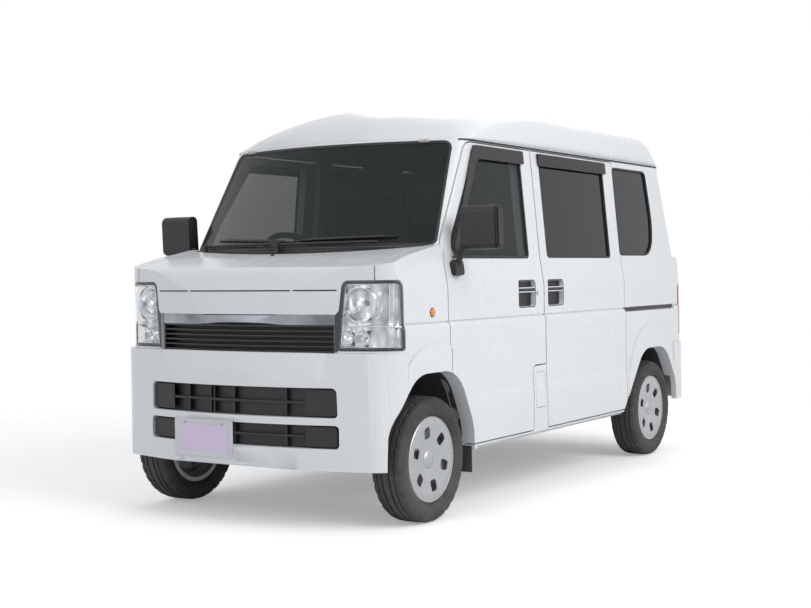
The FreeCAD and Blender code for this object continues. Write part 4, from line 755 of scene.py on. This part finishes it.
recessed_bumper(PLATE_PLACE, PLATE_OUT)
plate("front_plate", PLATE_PLACE + PLATE_OUT * 0.0006, PLATE_OUT, "body")
gate_only = skin("tailgate")
spot, normal = on_skin(gate_only, "rear", 0.0, 0.800)
plate("rear_plate", spot + Vector((-0.002, 0, 0)), Vector((-1, 0, 0)), "tailgate")
patch("gate_garnish", [(-230, 905, 8), (230, 905, 8), (222, 958, 16), (-222, 958, 16)], "rear", gate_only, "tailgate",
      "black_plastic", lift=0.014, thick=-0.016, step=0.04, bevel=0.003)
for side, sign in SIDES.items():
    spot, _ = on_skin(gate_only, "rear", sign * 0.11, 0.905)
    block("plate_lamp_" + side, spot + Vector((-0.014, -0.028, -0.009)), spot + Vector((-0.002, 0.028, 0.004)),
          "clear_lens", "tailgate", 0.002)


def blade(name, start, end, body, tree, plane):
    """Wiper blade lying on the glass between two points (a, b) of that view, in millimetres."""
    a, b = Vector(start), Vector(end)
    strip(name, [a, a.lerp(b, 0.5), b], plane, tree, body, bead(0.0035, -0.001, 0.012), "black_plastic", 0.04)
    strip(name + "_rib", [a.lerp(b, share) for share in (0.12, 0.5, 0.88)], plane, tree, body,
          bead(0.006, 0.010, 0.017), "black_plastic", 0.04)


front_glass = skin("windscreen")
blade("wiper_blade_left", (40, 1196), (500, 1206), "body", front_glass, "front")
blade("wiper_blade_right", (-480, 1206), (20, 1190), "body", front_glass, "front")
rear_glass = skin("tailgate_glass")
blade("rear_wiper_blade", (-330, 1190), (30, 1182), "tailgate", rear_glass, "rear")
spot, normal = on_skin(gate_skin, "rear", 0.0, 1.132)
lathe("rear_wiper_pivot", [(0.0, 0.016), (0.014, 0.015), (0.020, 0.008), (0.020, 0.0), (0.0, 0.0)], spot, normal,
      "black_plastic", "tailgate", 24)
end, up = on_skin(rear_glass, "rear", -0.15, 1.186)
tube("rear_wiper_arm", [spot + normal * 0.010, (spot + end) / 2 + normal * 0.016, end + up * 0.014], 0.005,
     "black_plastic", "tailgate")
spot, normal = on_skin(skin("bonnet"), "top", 1.36, -0.035)
lathe("washer_nozzle", [(0.0, 0.008), (0.005, 0.0075), (0.008, 0.004), (0.010, 0.0), (0.0, 0.0)], spot, normal,
      "black_plastic", "bonnet", 16)
# Painted shade: a dark rubber strip along the bonnet's shut line stands in for the shadow in the gap above the grille
# panel.
strip("bonnet_gap_shade_strip", [(-500, 984), (0, 984), (500, 984)], "front", skin("grille_panel"), "body",
      bead(0.0035, -0.004, 0.0006), "seal_rubber")


# ---------------------------------------------------------------- cabin
GRID_X, GRID_Y, SWELL, SEW = 36, 44, 0.55, 0.012
PRESSURE, PUFF_LIMIT, PUFF_FRAMES = 3.5, 0.010, 12


def cushion(name, size, centre, lean, channels, material, bolster=0.0):
    """Soft crowned pad: its sides pull in between the corners and sewn channels cross its face.

    size is (along, across, thick); lean turns it about Y, in degrees; channels are places across it from -1 to 1."""
    along, across, thick = (v / 2 for v in size)
    work = bmesh.new()
    bmesh.ops.create_grid(work, x_segments=GRID_X, y_segments=GRID_Y, size=1)
    top = [(v.co.x, v.co.y) for v in work.verts]
    faces = [[v.index for v in f.verts] for f in work.faces]
    work.free()

    def eased(u):
        return max(0.0, 1 - abs(u) ** 3.6) ** 0.42

    verts = []
    for u, v in top:
        pull = 1 - 0.018 * (1 - u * u) * abs(v) ** 6 - 0.018 * (1 - v * v) * abs(u) ** 6
        crown = eased(u) * eased(v)
        groove = sum(math.exp(-((v - c) / 0.018) ** 2) for c in channels) * (1 if abs(u) < 0.86 else 0.3)
        raised = bolster * max(0.0, (abs(v) - 0.66) / 0.34) ** 1.5 * (1 - 0.4 * abs(u))
        piping = 0.0025 * math.exp(-((max(abs(u), abs(v)) - 0.955) / 0.012) ** 2)
        body_height = thick * (SWELL + (1 - SWELL) * crown) * (0.25 + 0.75 * crown)
        face_height = body_height + (raised - 0.010 * groove) * crown + piping
        verts.append(Vector((u * along * pull, v * across * pull, face_height)))
        verts.append(Vector((u * along * pull, v * across * pull, -0.92 * body_height - piping)))
    verts = verts[::2] + verts[1::2]
    count = len(top)
    faces = faces + [[count + i for i in f][::-1] for f in faces]
    turn = Matrix.Rotation(math.radians(lean), 4, "Y")

    def sewn(work):
        rim = [v for v in work.verts if any(len(e.link_faces) == 1 for e in v.link_edges)]
        bmesh.ops.remove_doubles(work, verts=rim, dist=SEW)

    mesh = new_mesh(name, [turn @ p + Vector(centre) for p in verts], faces)
    return placed(name, reworked(mesh, sewn), material, "body")


def inflated(obj):
    """Puffs the pad up a little with cloth pressure and keeps the result in its mesh."""
    before = [v.co.copy() for v in obj.data.vertices]
    cloth = obj.modifiers.new("soft", "CLOTH")
    cloth.settings.use_pressure = True
    cloth.settings.uniform_pressure_force = PRESSURE
    cloth.settings.effector_weights.gravity = 0
    cloth.settings.quality = 4
    cloth.point_cache.frame_start, cloth.point_cache.frame_end = 1, PUFF_FRAMES
    scene = bpy.context.scene
    for number in range(1, PUFF_FRAMES + 1):
        scene.frame_set(number)
    soft = obj.evaluated_get(bpy.context.evaluated_depsgraph_get()).to_mesh()
    after = [v.co.copy() for v in soft.vertices]
    obj.modifiers.remove(cloth)
    scene.frame_set(1)
    for vert, old, new in zip(obj.data.vertices, before, after):
        move = new - old
        vert.co = old + move * min(1.0, PUFF_LIMIT / move.length if move.length > 1e-9 else 1.0)


pads = []
for side, sign in SIDES.items():
    y = sign * 0.330
    for part, size, centre, lean, channels, bolster in (
        ("cushion", (0.520, 0.452, 0.135), (0.372, y, 0.882), -3.0, (-0.62, 0.62, -0.2, 0.2), 0.020),
        ("back", (0.580, 0.432, 0.125), (0.082, y, 1.165), -80.0, (-0.60, 0.60, -0.2, 0.2), 0.026),
        ("head_rest", (0.160, 0.245, 0.085), (0.010, y, 1.548), -84.0, (), 0.0),
    ):
        pads.append(cushion(f"front_{part}_{side}", size, centre, lean, channels, "seat_cloth", bolster))
    block("seat_base_" + side, (0.155, y - 0.178, 0.7605), (0.495, y + 0.178, 0.822), "dash_plastic", "body", 0.006)
    for label, inset in (("b", -0.052), ("a", 0.052)):
        tube(f"head_post_{side}_{label}", [(0.030, y + inset, 1.40), (0.018, y + inset, 1.50)], 0.006, "bare_steel",
             "body")
for side, sign in SIDES.items():
    y = sign * 0.282
    for part, size, centre, lean, channels, material in (
        ("cushion", (0.420, 0.548, 0.115), (-0.385, y, 0.862), -2.5, (-0.5, 0.0, 0.5), "seat_cloth"),
        ("back", (0.480, 0.548, 0.100), (-0.648, y, 1.092), -80.0, (-0.5, 0.0, 0.5), "seat_cloth"),
        ("rest", (0.100, 0.25, 0.07), (-0.690, y, 1.285), -80.0, (), "seat_cloth_side"),
    ):
        pads.append(cushion(f"bench_{part}_{side}", size, centre, lean, channels, material))
    for label, x in (("back", -0.545), ("front", -0.225)):
        tube(f"bench_leg_{side}_{label}", [(x, y * 1.7, 0.642), (x, y * 1.7, 0.815)], 0.012, "bare_steel", "body")
for pad in pads:
    inflated(pad)
    rounder = pad.modifiers.new("round", "SUBSURF")
    rounder.levels = rounder.render_levels = 1
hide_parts("front_seats")
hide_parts("rear_seat")

# Dash, floor and trim
block("glove_box", (0.972, 0.110, 0.905), (0.990, 0.520, 1.020), "trim_panel", "body", 0.008)
block("centre_panel", (0.940, -0.075, 0.880), (0.975, 0.095, 1.070), "gloss_black", "body", 0.008)
for k in range(3):
    lathe(f"heater_knob_{k}", [(0.0, 0.010), (0.014, 0.010), (0.017, 0.006), (0.017, 0.0), (0.0, 0.0)],
          (0.939, -0.045 + 0.055 * k, 0.915), (-1, 0, 0), "dash_plastic", "body", 20)
for name, y in (("left", 0.535), ("inner_left", 0.085), ("inner_right", -0.075), ("right", -0.560)):
    block("air_vent_" + name, (0.944, y - 0.045, 1.052), (0.966, y + 0.045, 1.092), "gloss_black", "body", 0.005)
    for k in range(4):
        z = 1.060 + 0.008 * k
        block(f"vent_slat_{name}_{k}", (0.9415, y - 0.040, z - 0.0012), (0.956, y + 0.040, z + 0.0012), "dash_plastic",
              "body", 0.0008)
for name, y, r in (("speed", -0.330, 0.052), ("fuel", -0.425, 0.030), ("heat", -0.238, 0.030)):
    lathe("dial_" + name, [(0.0, 0.0), (r * 0.92, 0.0), (r, 0.005), (r * 1.04, 0.004), (r * 1.04, -0.004),
                           (0.0, -0.004)], (0.957, y, 1.118), (-0.94, 0, 0.34), "dial", "body", 32)
COLUMN_LEAN, HUB = math.radians(42), Vector((0.770, -0.330, 1.105))
column = Vector((math.cos(COLUMN_LEAN), 0, -math.sin(COLUMN_LEAN)))
lathe("horn_pad", [(0.0, 0.016), (0.030, 0.014), (0.052, 0.006), (0.060, -0.004), (0.060, -0.014), (0.0, -0.014)],
      HUB - column * 0.004, -column, "dash_plastic", "steering_wheel", 32)
tube("gear_lever", [(0.900, -0.020, 0.900), (0.860, -0.030, 0.960), (0.840, -0.035, 1.010)], 0.007, "bare_steel",
     "body")
lathe("gear_knob", [(0.0, 0.024), (0.012, 0.021), (0.019, 0.010), (0.018, -0.006), (0.009, -0.018), (0.0, -0.018)],
      (0.838, -0.0355, 1.015), (-0.4, 0, 0.92), "gloss_black", "body", 24)
block("inner_mirror", (0.918, -0.085, 1.570), (0.936, 0.115, 1.628), "black_plastic", "body", 0.008)
block("inner_mirror_glass", (0.9165, -0.079, 1.576), (0.9185, 0.109, 1.622), "mirror", "body", 0.0009)
tube("inner_mirror_stem", [(0.932, 0.015, 1.612), (0.948, 0.015, 1.640), (0.950, 0.015, 1.660)], 0.006,
     "black_plastic", "body")
DOOR_CARD = [(270, 360, 30), (1070, 360, 30), (1078, 1090, 20), (262, 1090, 20)]
for side, sign in SIDES.items():
    door = "front_door_" + side
    block("sun_visor_" + side, (0.790, sign * 0.34 - 0.17, 1.640), (0.930, sign * 0.34 + 0.17, 1.654), "headliner",
          "body", 0.006, Matrix.Rotation(math.radians(8), 3, "Y"))
    block("floor_mat_" + side, (0.580, sign * 0.32 - 0.20, 0.4565), (1.020, sign * 0.32 + 0.20, 0.4645), "floor_mat",
          "body", 0.003)
    patch("door_card_" + side, DOOR_CARD, side, skin(door), door, "trim_panel", lift=-0.0605, thick=0.003, step=0.07)
    low, high = sorted((sign * 0.652, sign * 0.612))
    block("arm_rest_" + side, (0.420, low, 0.860), (0.860, high, 0.905), "dash_plastic", door, 0.010)
block("load_mat", (-1.396, -0.486, 0.6442), (-0.784, 0.486, 0.6502), "floor_mat", "body", 0.002)

# ---------------------------------------------------------------- roof
ROOF_EDGE_Z, ROOF_TOP_Z, ROOF_PROBE_Z = 1.6525, 1.8748, 1.672
ROOF_SHOULDER, ROOF_BROW, ROOF_TAIL = 0.17, 0.95, 0.20  # how far in the roof eases down to its edge
SPINE_FRONT, SPINE_REAR = 0.42, -1.02
ROOF_SHARES = (1, 0.997, 0.99, 0.98, 0.965, 0.945, 0.92, 0.89, 0.85, 0.80, 0.74, 0.66, 0.56, 0.44, 0.30, 0.15, 0)


def looked_up(values):
    """Function that goes straight from each value to the next."""
    keys = sorted(values)

    def at(v):
        v = min(max(v, keys[0]), keys[-1])
        for a, b in zip(keys, keys[1:]):
            if v <= b:
                return values[a] + (values[b] - values[a]) * (v - a) / (b - a)

    return at


def roof_outline():
    """The solid roof's own edge line, seen from above."""
    roof_skin = skin("roof")
    edge = []
    for k in range(180):
        turn = math.radians(2 * k)
        ray = Vector((math.cos(turn), math.sin(turn), 0))
        foot = Vector((SPINE_FRONT if ray.x > 0 else SPINE_REAR, 0, ROOF_PROBE_Z))
        edge.append(roof_skin.ray_cast(foot + ray * 2, -ray)[0])
    left = [roof_skin.ray_cast(Vector((SPINE_FRONT - 0.06 * k, 2, ROOF_PROBE_Z)), Vector((0, -1, 0)))[0]
            for k in range(1, 24)]
    right = [Vector((p.x, -p.y, p.z)) for p in reversed(left)]
    return edge[:45] + left + edge[46:135] + right + edge[136:]


def soft_roof():
    """The roof pressing: rounded shoulders and a front that eases down to the windscreen; gives its skin."""
    outline = roof_outline()
    side_at = looked_up({round(p.x, 5): abs(p.y) for p in outline if p.y >= 0})
    front_at = looked_up({round(p.y, 5): p.x for p in outline if p.x > SPINE_FRONT})
    rear_at = looked_up({round(p.y, 5): p.x for p in outline if p.x < SPINE_REAR})

    def height(x, y):
        to_side = min(1.0, max(0.0, (side_at(x) - abs(y)) / ROOF_SHOULDER))
        to_front = min(1.0, max(0.0, (front_at(y) - x) / ROOF_BROW))
        to_back = min(1.0, max(0.0, (x - rear_at(y)) / ROOF_TAIL))
        crown = 1 - (0.13 + 0.36 * (1 - to_front)) * min(1.0, abs(y) / 0.62) ** 2
        rise = (crown * (1 - (1 - to_side) ** 2.2) ** 0.5 * (1 - (1 - to_front) ** 3) ** 0.72
                * (1 - (1 - to_back) ** 2.2) ** 0.5)
        return ROOF_EDGE_Z + (ROOF_TOP_Z - ROOF_EDGE_Z) * rise

    verts = []
    for share in ROOF_SHARES:
        for p in outline:
            foot = min(max(p.x, SPINE_REAR), SPINE_FRONT)
            x, y = foot + (p.x - foot) * share, p.y * share
            verts.append((x, y, height(x, y)))
    faces = ring_faces(len(ROOF_SHARES), len(outline), loop=False)
    mesh = welded(new_mesh("roof_pressing", verts, faces), 0.0004)
    made = placed("roof_pressing", mesh, "body_paint", "body")
    sheet = made.modifiers.new("sheet", "SOLIDIFY")
    sheet.thickness, sheet.offset = 0.010, -1
    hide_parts("roof")
    return BVHTree.FromPolygons([v.co for v in mesh.vertices], [list(f.vertices) for f in mesh.polygons])


patch("headliner", [(-1380, -520, 60), (560, -520, 60), (560, 520, 60), (-1380, 520, 60)], "top", soft_roof(), "body",
      "headliner", lift=-0.034, thick=0.004, step=0.10)


# ---------------------------------------------------------------- studio
CAMERA_PLACE, CAMERA_ANGLES = (6.18757, 3.70595, 1.06154), (-148.0639, -1.4393, -0.7073)  # angles: yaw, pitch, roll
CAMERA_LENS, CAMERA_SHIFT = 61.225, (-0.0107, 0.0012)
LAMPS = (  # name, place, aim, size, power
    ("key", (1.6, 6.4, 4.8), (0.0, 0, 0.8), 5.0, 330),
    ("fill", (7.0, -1.5, 3.6), (0.6, 0, 0.8), 5.5, 95),
    ("rear", (-6.0, -2.0, 4.5), (-0.5, 0, 0.9), 5.0, 110),
)
FLOOR_STEPS, FLOOR_RADII = 96, (1.2, 2.4, 3.4, 4.4, 6.0, 9.0)


def white_world():
    """Pale light on the van, but plain white for the camera, in gloss and through glass."""
    world = bpy.data.worlds.new("studio")
    bpy.context.scene.world = world
    world.use_nodes = True
    tree = world.node_tree
    tree.nodes.clear()
    out = add(tree, "ShaderNodeOutputWorld")
    lit = add(tree, "ShaderNodeBackground", Strength=0.50, Color=(0.93, 0.96, 1.0, 1))
    seen = add(tree, "ShaderNodeBackground", Strength=1.0, Color=(1, 1, 1, 1))
    path = add(tree, "ShaderNodeLightPath")
    mix = add(tree, "ShaderNodeMixShader")
    white = path.outputs["Is Camera Ray"]
    for ray in ("Is Glossy Ray", "Is Transmission Ray"):
        total = add(tree, "ShaderNodeMath", operation="ADD", use_clamp=True)
        tree.links.new(white, total.inputs[0])
        tree.links.new(path.outputs[ray], total.inputs[1])
        white = total.outputs[0]
    for source, socket in ((white, mix.inputs["Fac"]), (lit.outputs[0], mix.inputs[1]),
                           (seen.outputs[0], mix.inputs[2]), (mix.outputs[0], out.inputs["Surface"])):
        tree.links.new(source, socket)


def studio_floor():
    """White ground that fades out round the van, so that only its shadow shows."""
    turns = [2 * math.pi * k / FLOOR_STEPS for k in range(FLOOR_STEPS)]
    verts = [(0, 0, 0)] + [(r * math.cos(turn), r * math.sin(turn), 0) for r in FLOOR_RADII for turn in turns]
    faces = [[0, 1 + k, 1 + (k + 1) % FLOOR_STEPS] for k in range(FLOOR_STEPS)]
    faces += [[1 + i for i in reversed(face)] for face in ring_faces(len(FLOOR_RADII), FLOOR_STEPS, loop=False)]
    mesh = new_mesh("studio_floor", verts, faces)
    tree, bsdf = shader("studio_floor", {"Roughness": 0.8, "Specular IOR Level": 0.1})
    cloud = spread(tree, noise(tree, 1.5), 0, 1)
    tree.links.new(tinted(tree, cloud, (0.90, 0.90, 0.90), (0.92, 0.92, 0.92)), bsdf.inputs["Base Color"])
    clear, mix = add(tree, "ShaderNodeBsdfTransparent"), add(tree, "ShaderNodeMixShader")
    length = add(tree, "ShaderNodeVectorMath", operation="LENGTH")
    tree.links.new(place_on(tree), length.inputs[0])
    tree.links.new(spread(tree, length.outputs["Value"], 0, 1, 2.3, 4.6), mix.inputs["Fac"])
    glow = add(tree, "ShaderNodeEmission", Color=(1, 1, 1, 1))
    seen = add(tree, "ShaderNodeMath", operation="MULTIPLY")
    seen.inputs[1].default_value = 0.30
    both = add(tree, "ShaderNodeAddShader")
    for source, socket in ((add(tree, "ShaderNodeLightPath").outputs["Is Camera Ray"], seen.inputs[0]),
                           (seen.outputs[0], glow.inputs["Strength"]), (bsdf.outputs[0], both.inputs[0]),
                           (glow.outputs[0], both.inputs[1]), (both.outputs[0], mix.inputs[1]),
                           (clear.outputs[0], mix.inputs[2]),
                           (mix.outputs[0], tree.nodes["Material Output"].inputs["Surface"])):
        tree.links.new(source, socket)
    mesh.materials.append(MATERIALS["studio_floor"])
    linked("studio_floor", mesh)


def lamps():
    for name, spot, aim, size, power in LAMPS:
        light = bpy.data.lights.new(name, "AREA")
        light.size, light.energy = size, power
        obj = linked(name, light)
        obj.location = spot
        obj.rotation_euler = (Vector(aim) - Vector(spot)).to_track_quat("-Z", "Y").to_euler()


def camera():
    """The photograph's camera, solved from the wheels and the body's edges."""
    yaw, pitch, roll = (math.radians(a) for a in CAMERA_ANGLES)
    ahead = Vector((math.cos(pitch) * math.cos(yaw), math.cos(pitch) * math.sin(yaw), math.sin(pitch)))
    right = ahead.cross(Vector((0, 0, 1))).normalized()
    up = right.cross(ahead)
    tilted_right = right * math.cos(roll) + up * math.sin(roll)
    tilted_up = up * math.cos(roll) - right * math.sin(roll)
    data = bpy.data.cameras.new("photo_camera")
    data.sensor_width, data.lens = 36.0, CAMERA_LENS
    data.shift_x, data.shift_y = CAMERA_SHIFT
    obj = linked("photo_camera", data)
    turn = Matrix((tilted_right, tilted_up, -ahead)).transposed().to_4x4()
    obj.matrix_world = Matrix.Translation(CAMERA_PLACE) @ turn
    bpy.context.scene.camera = obj


white_world()
studio_floor()
lamps()
camera()
bpy.context.scene.view_settings.view_transform = "Standard"
